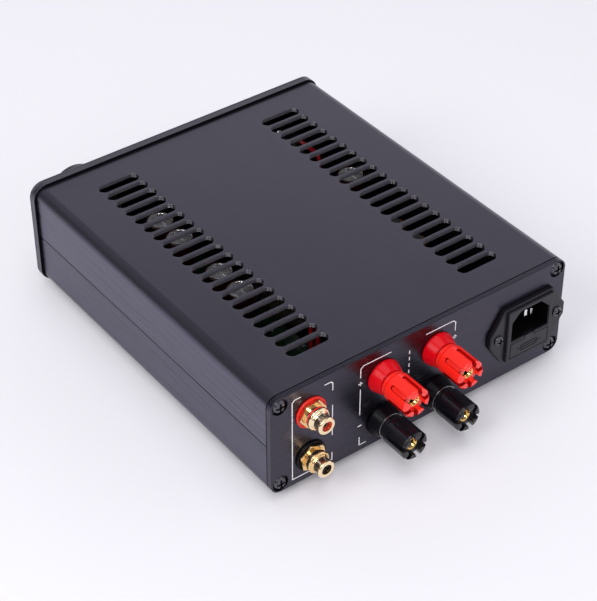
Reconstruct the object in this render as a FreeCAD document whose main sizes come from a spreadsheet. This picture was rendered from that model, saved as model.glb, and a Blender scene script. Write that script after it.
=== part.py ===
import FreeCAD, Part
import math
import os
import re

import Sketcher


# Driving sizes in millimetres. The frame has +Z up, the front faces -Y and the sockets face +Y.
SIZES = {
    # Case: two extruded halves between a rear plate and a thick front plate
    "case_width": 190.0,
    "case_height": 61.0,
    "shell_length": 213.0,
    "wall": 2.5,
    "edge_radius": 6.0,
    "seam_bevel": 0.35,
    "lip_height": 4.0,
    "lip_thickness": 1.2,
    "fit_gap": 0.1,
    "face_gap": 0.05,
    "rear_thickness": 3.0,
    "front_thickness": 5.0,
    "front_overhang": 1.5,
    "front_corner": 8.5,
    "plate_bevel": 0.5,
    # Vents: two rows of long holes in the top
    "vent_count": 20,
    "vent_pitch": 9.0,
    "vent_width": 7.1,
    "vent_length": 25.2,
    "vent_row_offset": 54.8,
    "vent_shift": 0.35,
    # Screws that run into ports along the corners of both halves
    "screw_inset_side": 5.8,
    "screw_inset_top": 5.5,
    "port_radius": 4.4,
    "port_bore_radius": 1.7,
    "screw_shank_radius": 1.6,
    "screw_length": 11.0,
    "screw_head_radius": 3.85,
    "screw_head_height": 2.4,
    "screw_dome_radius": 2.6,
    "screw_seat_radius": 4.7,
    "screw_seat_depth": 1.6,
    "cross_width": 0.9,
    "cross_length": 4.4,
    "cross_depth": 1.3,
    # Feet
    "foot_height": 5.0,
    "foot_radius": 8.0,
    "foot_taper": 1.2,
    "foot_inset_side": 20.0,
    "foot_inset_end": 20.0,
    # Volume control
    "knob_offset": 56.0,
    "knob_radius": 15.5,
    "knob_length": 23.5,
    "knob_clearance": 1.0,
    "knob_bevel": 1.0,
    "knob_wall": 3.0,
    "knob_cavity": 9.0,
    "knob_front_wall": 6.0,
    "pointer_width": 1.4,
    "pointer_length": 8.0,
    "pointer_depth": 0.5,
    "shaft_radius": 3.0,
    "shaft_gap": 0.05,
    "bush_radius": 3.5,
    "bush_reach": 3.2,
    "pot_width": 17.0,
    "pot_height": 20.0,
    "pot_depth": 9.0,
    "pot_nut_flats": 10.0,
    "pot_nut_height": 2.0,
    "set_screw_radius": 1.5,
    "set_screw_length": 5.0,
    # Power switch and light
    "switch_offset": 70.0,
    "switch_barrel_radius": 6.0,
    "switch_barrel_length": 14.0,
    "switch_flange_radius": 7.6,
    "switch_flange_height": 1.2,
    "switch_body_side": 12.0,
    "switch_body_depth": 9.0,
    "switch_nut_flats": 14.0,
    "switch_nut_height": 2.5,
    "button_radius": 4.5,
    "button_reach": 2.6,
    "button_stem": 6.0,
    "button_travel": 2.0,
    "button_bevel": 0.5,
    "light_offset": 50.0,
    "light_radius": 1.5,
    "light_dome": 0.9,
    "light_body_radius": 2.0,
    "light_body_length": 4.0,
    # Rows of sockets on the rear plate
    "upper_row": 12.5,
    "lower_row": 16.0,
    "input_offset": 70.9,
    "first_post_offset": 26.0,
    "second_post_offset": 8.5,
    # Input sockets
    "input_washer_radius": 9.0,
    "input_washer_height": 1.2,
    "input_hex_flats": 14.2,
    "input_hex_height": 1.6,
    "right_hex_turn": -5.0,
    "left_hex_turn": 20.0,
    "input_neck_radius": 5.9,
    "input_neck_length": 2.2,
    "input_ring_radius": 6.2,
    "input_ring_height": 0.6,
    "input_shoulder_radius": 6.35,
    "input_shoulder_height": 1.8,
    "input_barrel_radius": 4.6,
    "input_barrel_length": 6.0,
    "input_lip_radius": 4.9,
    "input_lip_height": 1.6,
    "input_bore_radius": 2.9,
    "input_shank_radius": 3.9,
    "input_shank_length": 12.0,
    "input_hole_radius": 4.9,
    "input_sleeve_bore": 1.8,
    "input_contact_radius": 2.1,
    "input_contact_bore": 1.65,
    "input_contact_tail": 5.0,
    "input_sleeve_recess": 1.0,
    "inner_washer_height": 1.5,
    "inner_washer_radius": 6.8,
    "input_nut_flats": 11.0,
    "input_nut_height": 2.4,
    # Binding posts
    "collar_base_radius": 9.6,
    "collar_top_radius": 7.7,
    "collar_rim": 1.0,
    "collar_length": 7.1,
    "collar_spigot_radius": 4.5,
    "post_ring_radius": 7.75,
    "post_ring_height": 0.5,
    "cap_neck_radius": 7.2,
    "cap_neck_length": 1.9,
    "cap_flare": 1.2,
    "cap_radius": 8.1,
    "cap_length": 19.2,
    "cap_bevel": 1.1,
    "cap_recess_radius": 4.7,
    "cap_recess_depth": 3.0,
    "flute_count": 6,
    "flute_width": 2.8,
    "red_cap_turn": 10.5,
    "black_cap_turn": -18.0,
    "flute_length": 13.4,
    "flute_floor": 4.4,
    "stud_radius": 3.4,
    "stud_bore_radius": 2.05,
    "stud_bore_depth": 13.0,
    "stud_shank_radius": 2.5,
    "stud_shank_length": 20.0,
    "wire_hole_radius": 1.25,
    "post_washer_radius": 7.0,
    "post_washer_height": 2.0,
    "post_nut_flats": 8.0,
    "post_nut_height": 3.0,
    # Mains inlet with fuse drawer
    "inlet_side_gap": 26.0,
    "inlet_drop": 1.2,
    "inlet_screw_pitch": 40.5,
    "inlet_span": 51.5,
    "inlet_tip": 7.0,
    "inlet_height": 35.0,
    "inlet_flange_width": 33.0,
    "inlet_flange_height": 2.6,
    "inlet_block_width": 31.0,
    "inlet_block_height": 33.0,
    "inlet_block_rise": 1.8,
    "inlet_body_width": 27.4,
    "inlet_body_height": 31.4,
    "inlet_body_depth": 26.0,
    "inlet_hole_gap": 0.3,
    "inlet_bevel": 0.5,
    "socket_width": 25.2,
    "socket_height": 17.6,
    "socket_corner": 5.6,
    "socket_rise": 5.3,
    "socket_depth": 17.0,
    "socket_mouth": 0.4,
    "pin_width": 2.0,
    "pin_height": 4.0,
    "pin_length": 13.0,
    "pin_step": 2.8,
    "pin_tail": 6.0,
    "pin_spread": 7.0,
    "pin_drop": 2.0,
    "drawer_width": 26.0,
    "drawer_height": 9.8,
    "drawer_drop": 10.3,
    "drawer_face": 2.0,
    "drawer_tray_width": 22.0,
    "drawer_tray_height": 7.4,
    "drawer_tray_depth": 16.0,
    "drawer_tray_wall": 1.0,
    "drawer_gap": 0.15,
    "drawer_tab_width": 6.4,
    "drawer_tab_height": 2.8,
    "fuse_radius": 2.6,
    "fuse_length": 19.6,
    "inlet_screw_radius": 1.5,
    "inlet_screw_head": 3.0,
    "inlet_screw_height": 1.8,
    "inlet_screw_length": 6.0,
    "inlet_screw_dome": 2.0,
    # Two circuit boards on plastic pillars
    "board_thickness": 1.6,
    "board_rise": 6.0,
    "board_length": 150.0,
    "board_front_gap": 23.0,
    "board_edge_gap": 9.0,
    "amplifier_core_gap": 1.0,
    "supply_core_gap": 3.0,
    "pillar_flats": 5.5,
    "pillar_stud_radius": 1.4,
    "pillar_stud_height": 1.4,
    "pillar_hole_radius": 1.6,
    "pillar_inset": 5.0,
    # Reservoir capacitors: two pairs on one board and a single one on the other
    "reservoir_radius": 8.0,
    "reservoir_height": 36.0,
    "reservoir_bead": 0.8,
    "reservoir_sink_gap": 2.5,
    "reservoir_pitch": 19.0,
    "reservoir_first": 61.5,
    "reservoir_pair_gap": 56.5,
    "supply_can_shift": 3.7,
    "supply_can_along": 33.6,
    # Transformer
    "core_radius": 33.0,
    "core_hole_radius": 10.0,
    "core_height": 34.0,
    "core_corner": 7.0,
    "core_side": 16.0,
    "core_disc_radius": 17.0,
    "core_disc_thickness": 1.5,
    "core_bolt_radius": 3.0,
    "core_bolt_flats": 10.0,
    "core_bolt_head": 4.0,
    # Heatsink and output devices
    "sink_width": 24.0,
    "sink_length": 84.0,
    "sink_height": 36.0,
    "sink_base": 5.0,
    "sink_wall_gap": 8.5,
    "sink_along": 22.0,
    "fin_count": 6,
    "fin_thickness": 1.6,
    "device_count": 4,
    "device_pitch": 20.0,
    "device_width": 15.6,
    "device_height": 20.0,
    "device_thickness": 4.8,
    "device_lift": 5.0,
    "lead_width": 1.2,
    # Output coils
    "coil_radius": 6.0,
    "coil_height": 22.0,
    "coil_core_radius": 3.2,
    "coil_shift": 1.0,
    "coil_first": 3.0,
    "coil_pitch": 19.0,
    # Internal leads
    "lead_radius": 1.3,
    "lead_bend": 3.5,
    "long_lead_reach": 30.0,
    "short_lead_reach": 23.0,
    "slant_lead_reach": 50.0,
    "signal_lead_reach": 27.0,
    "inlet_lead_reach": 13.0,
    "switch_lead_reach": 15.0,
    "switch_lead_spread": 7.0,
}

# Places worked out from the sizes
MIDDLE_HEIGHT = "(foot_height + case_height / 2)"
POST_REACH = "(collar_length + post_ring_height + 2 * face_gap + cap_length)"
KNOB_REACH = "(knob_clearance + knob_length)"
CASE_DEPTH = "(rear_thickness + shell_length + front_thickness)"
REAR_FACE = f"(({CASE_DEPTH} + {KNOB_REACH} - {POST_REACH}) / 2)"
SHELL_REAR = f"({REAR_FACE} - rear_thickness)"
SHELL_FRONT = f"({SHELL_REAR} - shell_length)"
FRONT_FACE = f"({SHELL_FRONT} - front_thickness)"
SCREW_SIDE = "(case_width / 2 - screw_inset_side)"
SCREW_RISE = "(case_height / 2 - screw_inset_top)"
FLOOR = "(foot_height + wall)"
BOARD_TOP = f"({FLOOR} + board_rise + board_thickness)"
INLET_SIDE = "(inlet_side_gap - case_width / 2)"
INLET_HEIGHT = f"({MIDDLE_HEIGHT} - inlet_drop)"
HEATSINK_SIDE = "(case_width / 2 - wall - sink_wall_gap - sink_width / 2)"
SET_SCREW_REACH = "(-knob_clearance - knob_cavity - (knob_length - knob_cavity - knob_front_wall) / 2)"

document = FreeCAD.newDocument("audio_amplifier")
sheet = document.addObject("Spreadsheet::Sheet", "Sizes")
for line, (alias, number) in enumerate(SIZES.items(), 1):
    sheet.set(f"A{line}", alias)
    sheet.set(f"B{line}", str(number))
    sheet.setAlias(f"B{line}", alias)
document.recompute()

nodes = []


# Expressions

def sized(text):
    """Point every size named in an expression at its cell of the sheet."""
    return re.sub(r"[a-z_]+", lambda word: f"Sizes.{word[0]}" if word[0] in SIZES else word[0], text)


def number_of(text):
    """The number that an expression over the sizes comes to now."""
    return float(sheet.evalExpression(sized(text)))


def tie(target, **properties):
    """Bind properties of an object to expressions over the sizes."""
    for name, text in properties.items():
        target.setExpression(name.replace("__", "."), sized(text))


def place(target, across="0", along="0", up="0"):
    """Bind an object's position to expressions over the sizes."""
    tie(target, Placement__Base__x=across, Placement__Base__y=along, Placement__Base__z=up)


# Sketches and features of a body

def new_body(label, across="0", along="0", up="0", turn="0"):
    """Start the body of one sub-part at its own place, turned about the line from front to rear."""
    body = document.addObject("PartDesign::Body", label)
    body.Label = label
    turned_by = FreeCAD.Rotation(FreeCAD.Vector(0, -1, 0), number_of(turn))
    body.Placement = FreeCAD.Placement(FreeCAD.Vector(), turned_by)
    place(body, across, along, up)
    nodes.append(body)
    return body


def origin_part(body, role):
    """A body's own origin plane or axis."""
    return next(part for part in body.Origin.OriginFeatures if part.Role == role)


def new_sketch(body, name, role="XZ_Plane", offset="0"):
    """A sketch on one of the body's origin planes, moved along its normal."""
    sketch = body.newObject("Sketcher::SketchObject", name)
    sketch.AttachmentSupport = [(origin_part(body, role), "")]
    sketch.MapMode = "FlatFace"
    tie(sketch, AttachmentOffset__Base__z=offset)
    return sketch


def pin_point(sketch, geometry, position, across, up):
    """Hold a sketch point at a distance from the sketch's origin."""
    for kind, text in (("DistanceX", across), ("DistanceY", up)):
        held = Sketcher.Constraint(kind, -1, 1, geometry, position, number_of(text))
        index = sketch.addConstraint(held)
        sketch.setExpression(f"Constraints[{index}]", sized(text))


def outline(sketch, corners):
    """A closed outline of straight edges through corners given as expressions."""
    points = [FreeCAD.Vector(number_of(across), number_of(up), 0) for across, up in corners]
    first = sketch.GeometryCount
    count = len(points)
    for index, point in enumerate(points):
        sketch.addGeometry(Part.LineSegment(point, points[(index + 1) % count]), False)
    for index in range(count):
        following = first + (index + 1) % count
        sketch.addConstraint(Sketcher.Constraint("Coincident", first + index, 2, following, 1))
    for index, (across, up) in enumerate(corners):
        pin_point(sketch, first + index, 1, across, up)


def rectangle(sketch, width, height, across="0", up="0"):
    """A rectangle about its middle."""
    outline(sketch, [(f"{across} + {sign_x} * ({width}) / 2", f"{up} + {sign_y} * ({height}) / 2")
                     for sign_x, sign_y in ((-1, -1), (1, -1), (1, 1), (-1, 1))])


def hexagon(sketch, flats):
    """A hexagon about the sketch's origin, given across its flats."""
    half = f"({flats}) / 2"
    corners = []
    for step in range(6):
        turn = 60 * step
        corners.append((f"{half} / cos(30) * cos({turn})", f"{half} / cos(30) * sin({turn})"))
    outline(sketch, corners)


def circle(sketch, radius, across="0", up="0"):
    """A circle at a place in the sketch."""
    middle = FreeCAD.Vector(number_of(across), number_of(up), 0)
    index = sketch.addGeometry(Part.Circle(middle, FreeCAD.Vector(0, 0, 1), number_of(radius)), False)
    held = sketch.addConstraint(Sketcher.Constraint("Radius", index, number_of(radius)))
    sketch.setExpression(f"Constraints[{held}]", sized(radius))
    pin_point(sketch, index, 3, across, up)


def long_hole(sketch, length, width, across="0", up="0"):
    """A hole with two round ends, its length along the sketch's first axis."""
    radius = number_of(width) / 2
    reach = f"(({length}) - ({width})) / 2"
    half = number_of(reach)
    middle = FreeCAD.Vector(number_of(across), number_of(up), 0)
    normal = FreeCAD.Vector(0, 0, 1)
    left = Part.Circle(middle - FreeCAD.Vector(half, 0, 0), normal, radius)
    right = Part.Circle(middle + FreeCAD.Vector(half, 0, 0), normal, radius)
    first = sketch.GeometryCount
    sketch.addGeometry(Part.ArcOfCircle(left, math.pi / 2, 3 * math.pi / 2), False)
    sketch.addGeometry(Part.LineSegment(middle + FreeCAD.Vector(-half, -radius, 0),
                                        middle + FreeCAD.Vector(half, -radius, 0)), False)
    sketch.addGeometry(Part.ArcOfCircle(right, -math.pi / 2, math.pi / 2), False)
    sketch.addGeometry(Part.LineSegment(middle + FreeCAD.Vector(half, radius, 0),
                                        middle + FreeCAD.Vector(-half, radius, 0)), False)
    for index in range(4):
        sketch.addConstraint(Sketcher.Constraint("Tangent", first + index, 2, first + (index + 1) % 4, 1))
    held = sketch.addConstraint(Sketcher.Constraint("Radius", first, radius))
    sketch.setExpression(f"Constraints[{held}]", sized(f"({width}) / 2"))
    pin_point(sketch, first, 3, f"{across} - {reach}", up)
    pin_point(sketch, first + 2, 3, f"{across} + {reach}", up)


def changed(body, feature, grows):
    """Make sure that a feature really added or took away material."""
    document.recompute()
    before = feature.BaseFeature.Shape.Volume if feature.BaseFeature else 0
    after = feature.Shape.Volume
    if (after > before) != grows or abs(after - before) < 1e-6:
        raise RuntimeError(f"{body.Label}: {feature.Name} changed nothing")
    return feature


def pad(body, sketch, length, name="Pad", flip=False):
    """Raise a sketch into material."""
    feature = body.newObject("PartDesign::Pad", name)
    feature.Profile = sketch
    feature.Reversed = flip
    tie(feature, Length=length)
    return changed(body, feature, True)


def pocket(body, sketch, length=None, name="Pocket", flip=False):
    """Cut a sketch to a depth, or right through both ways."""
    feature = body.newObject("PartDesign::Pocket", name)
    feature.Profile = sketch
    feature.Reversed = flip
    if length is None:
        feature.Type = "ThroughAll"
        feature.Midplane = True
    else:
        tie(feature, Length=length)
    return changed(body, feature, False)


def turned(body, corners, name="Turning"):
    """Turn a half section, given as radius and distance along the body's Y axis."""
    sketch = new_sketch(body, f"{name}Section", "XY_Plane")
    outline(sketch, corners)
    feature = body.newObject("PartDesign::Revolution", name)
    feature.Profile = sketch
    feature.ReferenceAxis = (sketch, ["V_Axis"])
    feature.Angle = 360
    return changed(body, feature, True)


def around(body, feature, count, name="Around"):
    """Repeat a feature evenly about the body's Y axis."""
    pattern = body.newObject("PartDesign::PolarPattern", name)
    pattern.Originals = [feature]
    pattern.Axis = (origin_part(body, "Y_Axis"), [""])
    pattern.Angle = 360
    tie(pattern, Occurrences=count)
    body.Tip = pattern
    document.recompute()
    return pattern


def in_line(body, feature, role, length, count, name="Row"):
    """Repeat a feature evenly along one of the body's axes."""
    pattern = body.newObject("PartDesign::LinearPattern", name)
    pattern.Originals = [feature]
    pattern.Direction = (origin_part(body, role), [""])
    tie(pattern, Length=length, Occurrences=count)
    body.Tip = pattern
    document.recompute()
    return pattern


def edges_where(feature, wanted):
    """The names of a feature's edges whose ends and middle pass a test."""
    names = []
    for index, edge in enumerate(feature.Shape.Edges, 1):
        if wanted(edge):
            names.append(f"Edge{index}")
    return names


def dress(body, kind, feature, wanted, size):
    """Round or bevel chosen edges: kind is Fillet or Chamfer."""
    finish = body.newObject(f"PartDesign::{kind}", kind)
    finish.Base = (feature, edges_where(feature, wanted))
    if kind == "Fillet":
        tie(finish, Radius=size)
    else:
        tie(finish, Size=size)
    document.recompute()
    return finish


def runs_along(edge, axis):
    """Whether a straight edge runs along an axis, 0 for X, 1 for Y and 2 for Z."""
    if not isinstance(edge.Curve, Part.Line):
        return False
    return abs(abs(edge.Curve.Direction[axis]) - 1) < 1e-6


def lies_at(edge, axis, level):
    """Whether a whole edge lies at one level of an axis."""
    box = edge.BoundBox
    low = (box.XMin, box.YMin, box.ZMin)[axis]
    high = (box.XMax, box.YMax, box.ZMax)[axis]
    return abs(low - level) < 1e-4 and abs(high - level) < 1e-4


# Plain solids and their combination

TURNS = {"Z": FreeCAD.Rotation(), "X": FreeCAD.Rotation(FreeCAD.Vector(0, 1, 0), 90),
         "Y": FreeCAD.Rotation(FreeCAD.Vector(1, 0, 0), -90),
         "-Y": FreeCAD.Rotation(FreeCAD.Vector(1, 0, 0), 90)}


def solid_box(name, width, depth, height, across="0", along="0", up="0"):
    """A box centred across and along, standing on its base."""
    box = document.addObject("Part::Box", name)
    tie(box, Length=width, Width=depth, Height=height)
    place(box, f"{across} - ({width}) / 2", f"{along} - ({depth}) / 2", up)
    return box


def solid_rod(name, radius, length, across="0", along="0", up="0", axis="Z"):
    """A round bar from a place along X, Y, -Y or Z."""
    rod = document.addObject("Part::Cylinder", name)
    tie(rod, Radius=radius, Height=length)
    rod.Placement = FreeCAD.Placement(FreeCAD.Vector(), TURNS[axis])
    place(rod, across, along, up)
    return rod


def solid_cone(name, first, last, length, across="0", along="0", up="0", axis="Z"):
    """A round bar that tapers from its first radius to its last."""
    cone = document.addObject("Part::Cone", name)
    tie(cone, Radius1=first, Radius2=last, Height=length)
    cone.Placement = FreeCAD.Placement(FreeCAD.Vector(), TURNS[axis])
    place(cone, across, along, up)
    return cone


def solid_prism(name, flats, length, across="0", along="0", up="0", upright=True):
    """A six-sided bar across its flats, standing up or pointing along +Y."""
    prism = document.addObject("Part::Prism", name)
    prism.Polygon = 6
    tie(prism, Circumradius=f"({flats}) / 2 / cos(30)", Height=length)
    if not upright:
        prism.Placement = FreeCAD.Placement(FreeCAD.Vector(), FreeCAD.Rotation(FreeCAD.Vector(1, 0, 0), -90))
    place(prism, across, along, up)
    return prism


def joined(name, pieces):
    """One solid from several that touch or overlap."""
    fusion = document.addObject("Part::MultiFuse", name)
    fusion.Shapes = pieces
    return fusion


def cut_from(name, base, tool):
    """A solid with another taken out of it."""
    cut = document.addObject("Part::Cut", name)
    cut.Base = base
    cut.Tool = tool
    return cut


def group_of(name, pieces):
    """Separate like solids that share one node."""
    group = document.addObject("Part::Compound", name)
    group.Links = pieces
    return group


def finished(target, label):
    """Give a sub-part its name and note it."""
    target.Label = label
    nodes.append(target)
    return target


# Case halves: extruded aluminium channels with a screw port in each corner

def case_half(label, side):
    """One half of the case: side is 1 for the top and -1 for the bottom."""
    body = new_body(label, up=MIDDLE_HEIGHT)
    section = new_sketch(body, "Section", offset=f"-{SHELL_REAR}")
    outer = f"{side} * case_height / 2"
    rectangle(section, "case_width", "case_height / 2", up=f"{side} * case_height / 4")
    bar = pad(body, section, "shell_length", "Bar")
    level = number_of(outer)
    rounded = dress(body, "Fillet", bar, lambda edge: runs_along(edge, 1) and lies_at(edge, 2, level),
                    "edge_radius")
    dress(body, "Chamfer", rounded, lambda edge: runs_along(edge, 1) and lies_at(edge, 2, 0), "seam_bevel")
    hollow = new_sketch(body, "Hollow", offset=f"-{SHELL_REAR}")
    rectangle(hollow, "case_width - 2 * wall", "case_height / 2 - wall",
              up=f"{side} * (case_height / 2 - wall) / 2")
    pocket(body, hollow, None, "Channel")
    ports = new_sketch(body, "Ports", offset=f"-{SHELL_REAR}")
    for hand in (-1, 1):
        circle(ports, "port_radius", f"{hand} * {SCREW_SIDE}", f"{side} * {SCREW_RISE}")
    pad(body, ports, "shell_length", "PortWalls")
    bores = new_sketch(body, "Bores", offset=f"-{SHELL_REAR}")
    for hand in (-1, 1):
        circle(bores, "port_bore_radius", f"{hand} * {SCREW_SIDE}", f"{side} * {SCREW_RISE}")
    pocket(body, bores, None, "PortBores")
    return body


def top_cover():
    """The upper half: vents in two rows, and a rebate that laps over the lower half's lip."""
    body = case_half("top_cover", 1)
    rebate = new_sketch(body, "Rebate", offset=f"-{SHELL_REAR}")
    for hand in (-1, 1):
        rectangle(rebate, "lip_thickness + fit_gap", "2 * (lip_height + fit_gap)",
                  across=f"{hand} * (case_width / 2 - wall + (lip_thickness + fit_gap) / 2)")
    pocket(body, rebate, None, "LapRebate")
    vents = new_sketch(body, "Vents", "XY_Plane", "case_height / 2")
    row_start = f"{SHELL_REAR} - shell_length / 2 - vent_pitch * (vent_count - 1) / 2 - vent_shift"
    for hand in (-1, 1):
        long_hole(vents, "vent_length", "vent_width", f"{hand} * vent_row_offset", row_start)
    pair = pocket(body, vents, "wall * 2", "VentPair")
    in_line(body, pair, "Y_Axis", "vent_pitch * (vent_count - 1)", "vent_count", "VentRows")


def bottom_cover():
    """The lower half: its lips stand up behind the walls of the upper half."""
    body = case_half("bottom_cover", -1)
    lips = new_sketch(body, "Lips", offset=f"-{SHELL_REAR}")
    for hand in (-1, 1):
        rectangle(lips, "lip_thickness", "2 * lip_height",
                  across=f"{hand} * (case_width / 2 - wall + lip_thickness / 2)")
    pad(body, lips, "shell_length", "LapLips")


top_cover()
bottom_cover()


# Plates: a thick machined front and a plain rear, both with rounded corners

def plate(label, width, height, thickness, corner, face):
    """A flat plate with round corners and fine bevels, its outer face towards the sketch's far side."""
    body = new_body(label, up=MIDDLE_HEIGHT)
    sketch = new_sketch(body, "Plate", offset=f"-{face}")
    rectangle(sketch, width, height)
    flat = pad(body, sketch, thickness, "Flat")
    rounded = dress(body, "Fillet", flat, lambda edge: runs_along(edge, 1), corner)
    dress(body, "Chamfer", rounded, lambda edge: not runs_along(edge, 1), "plate_bevel")
    return body


def screw_holes(body, face, flip):
    """Four screw holes with round seats for the heads."""
    seats = new_sketch(body, "ScrewSeats", offset=f"-{face}")
    holes = new_sketch(body, "ScrewHoles", offset=f"-{face}")
    for across, up in corner_places():
        circle(seats, "screw_seat_radius", across, up)
        circle(holes, "port_bore_radius", across, up)
    pocket(body, seats, "screw_seat_depth", "Seats", flip)
    pocket(body, holes, None, "Holes")


def corner_places():
    """The four screw places, from the middle of a plate."""
    return [(f"{hand} * {SCREW_SIDE}", f"{side} * {SCREW_RISE}") for side in (1, -1) for hand in (1, -1)]


def front_panel():
    """The front plate stands proud of the case all round."""
    body = plate("front_panel", "case_width + 2 * front_overhang", "case_height + 2 * front_overhang",
                 "front_thickness", "front_corner", SHELL_FRONT)
    screw_holes(body, FRONT_FACE, False)
    holes = new_sketch(body, "ControlHoles", offset=f"-{FRONT_FACE}")
    circle(holes, "bush_radius + fit_gap", "knob_offset")
    circle(holes, "switch_barrel_radius + fit_gap", "-switch_offset")
    circle(holes, "light_radius + fit_gap", "-light_offset")
    pocket(body, holes, None, "Controls")


def rear_panel():
    """The rear plate carries the sockets, posts and mains inlet."""
    body = plate("rear_panel", "case_width", "case_height", "rear_thickness", "edge_radius", REAR_FACE)
    screw_holes(body, REAR_FACE, True)
    holes = new_sketch(body, "SocketHoles", offset=f"-{REAR_FACE}")
    for row in ("upper_row", "-lower_row"):
        circle(holes, "input_hole_radius", "input_offset", row)
        circle(holes, "collar_spigot_radius + fit_gap", "first_post_offset", row)
        circle(holes, "collar_spigot_radius + fit_gap", "-second_post_offset", row)
    rectangle(holes, "inlet_body_width + 2 * inlet_hole_gap", "inlet_body_height + 2 * inlet_hole_gap",
              INLET_SIDE, "-inlet_drop")
    for hand in (-1, 1):
        circle(holes, "inlet_screw_radius + fit_gap", f"{INLET_SIDE} + {hand} * inlet_screw_pitch / 2",
               "-inlet_drop")
    pocket(body, holes, None, "Sockets")


front_panel()
rear_panel()


# Screws: pan heads with a cross recess, screwed into the ports of the case

def pan_screw(name, size, across, along, up, outward):
    """A screw whose head sits at a place along Y: outward is 1 for a head towards +Y, or -1."""
    shank, length, head, dome, height = size
    out, back = ("Y", "-Y") if outward > 0 else ("-Y", "Y")
    step = f"{along} + {outward} * {height} / 2"
    blank = joined(f"{name}Blank", [
        solid_rod(f"{name}Shank", shank, length, across, along, up, back),
        solid_rod(f"{name}Head", head, f"{height} / 2", across, along, up, out),
        solid_cone(f"{name}Dome", head, dome, f"{height} / 2", across, step, up, out)])
    slots = []
    for wide, tall in (("cross_length", "cross_width"), ("cross_width", "cross_length")):
        slots.append(solid_box(f"{name}Slot", wide, "2 * cross_depth", tall, across,
                               f"{along} + {outward} * {height}", f"{up} - {tall} / 2"))
    return cut_from(name, blank, joined(f"{name}Cross", slots))


def plate_screws(label, seat, outward):
    """Four screws in the corners of one plate."""
    size = ("screw_shank_radius", "screw_length", "screw_head_radius", "screw_dome_radius",
            "screw_head_height")
    screws = []
    for across, up in corner_places():
        screws.append(pan_screw("PlateScrew", size, across, seat, f"{MIDDLE_HEIGHT} + {up}", outward))
    finished(group_of("PlateScrews", screws), label)


plate_screws("rear_panel_screws", f"{REAR_FACE} - screw_seat_depth", 1)
plate_screws("front_panel_screws", f"{FRONT_FACE} + screw_seat_depth", -1)


# Feet: four moulded rubber pads stuck under the lower half

def rubber_feet():
    """Four tapered pads, wide side up."""
    feet = []
    for along in (f"{SHELL_REAR} - foot_inset_end", f"{SHELL_FRONT} + foot_inset_end"):
        for hand in (-1, 1):
            feet.append(solid_cone("Foot", "foot_radius - foot_taper", "foot_radius", "foot_height",
                                   f"{hand} * (case_width / 2 - foot_inset_side)", along))
    finished(group_of("RubberFeet", feet), "rubber_feet")


rubber_feet()


# Volume control: a turned knob with a hollow back on the shaft of a potentiometer

def volume_knob():
    """A cup-shaped knob: its hub grips the shaft and its hollow hides the nut."""
    body = new_body("volume_knob", "knob_offset", FRONT_FACE, MIDDLE_HEIGHT)
    back = "-knob_clearance"
    front = f"-{KNOB_REACH}"
    hub = "-knob_clearance - knob_cavity"
    bore_end = f"-{KNOB_REACH} + knob_front_wall"
    bore = "shaft_radius + shaft_gap"
    turned(body, [("0", front), ("knob_radius - knob_bevel", front),
                  ("knob_radius", f"{front} + knob_bevel"), ("knob_radius", back),
                  ("knob_radius - knob_wall", back), ("knob_radius - knob_wall", hub),
                  (bore, hub), (bore, bore_end), ("0", bore_end)])
    mark = new_sketch(body, "PointerMark", offset=KNOB_REACH)
    rectangle(mark, "pointer_width", "pointer_length",
              up="knob_radius - knob_bevel - pointer_length / 2 - pointer_width")
    pocket(body, mark, "pointer_depth", "Pointer")
    tapped = new_sketch(body, "SetScrewHole", "XY_Plane")
    circle(tapped, "set_screw_radius + shaft_gap", "0", SET_SCREW_REACH)
    pocket(body, tapped, "2 * knob_radius", "SetScrewBore")


def knob_set_screw():
    """A headless screw with a six-sided socket that clamps the knob to its shaft from below."""
    low = f"{MIDDLE_HEIGHT} - shaft_radius - face_gap - set_screw_length"
    along = f"{FRONT_FACE} + {SET_SCREW_REACH}"
    rod = solid_rod("SetScrewRod", "set_screw_radius", "set_screw_length", "knob_offset", along, low)
    key = solid_prism("SetScrewKey", "set_screw_radius", "set_screw_length / 2", "knob_offset", along, low)
    finished(cut_from("SetScrew", rod, key), "knob_set_screw")


def potentiometer():
    """A square pot whose threaded bush passes through the front plate."""
    back = SHELL_FRONT
    case = solid_box("PotCase", "pot_width", "pot_depth", "pot_height", "knob_offset",
                     f"{back} + pot_depth / 2", f"{MIDDLE_HEIGHT} - pot_height / 2")
    bush = solid_rod("PotBush", "bush_radius", "front_thickness + bush_reach", "knob_offset",
                     f"{FRONT_FACE} - bush_reach", MIDDLE_HEIGHT, "Y")
    bore = solid_rod("PotBore", "shaft_radius + shaft_gap", "front_thickness + bush_reach + pot_depth / 2",
                     "knob_offset", f"{FRONT_FACE} - bush_reach", MIDDLE_HEIGHT, "Y")
    finished(cut_from("Pot", joined("PotBlank", [case, bush]), bore), "potentiometer")


def potentiometer_shaft():
    """The shaft turns in the bush and carries the knob."""
    start = f"{FRONT_FACE} - {KNOB_REACH} + knob_front_wall + face_gap"
    length = f"{KNOB_REACH} - knob_front_wall + front_thickness + pot_depth / 2 - 2 * face_gap"
    finished(solid_rod("Shaft", "shaft_radius", length, "knob_offset", start, MIDDLE_HEIGHT, "Y"),
             "potentiometer_shaft")


def ring_nut(name, flats, height, bore, across, along, up):
    """A hexagon nut around a threaded barrel that points along Y."""
    prism = solid_prism(f"{name}Prism", flats, height, across, along, up, False)
    hole = solid_rod(f"{name}Hole", f"{bore} + face_gap", height, across, along, up, "Y")
    return cut_from(name, prism, hole)


volume_knob()
knob_set_screw()
potentiometer()
potentiometer_shaft()
finished(ring_nut("PotNut", "pot_nut_flats", "pot_nut_height", "bush_radius", "knob_offset",
                  f"{FRONT_FACE} - pot_nut_height", MIDDLE_HEIGHT), "potentiometer_nut")


# Power switch: a push button in a threaded barrel, and a small light beside it

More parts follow.
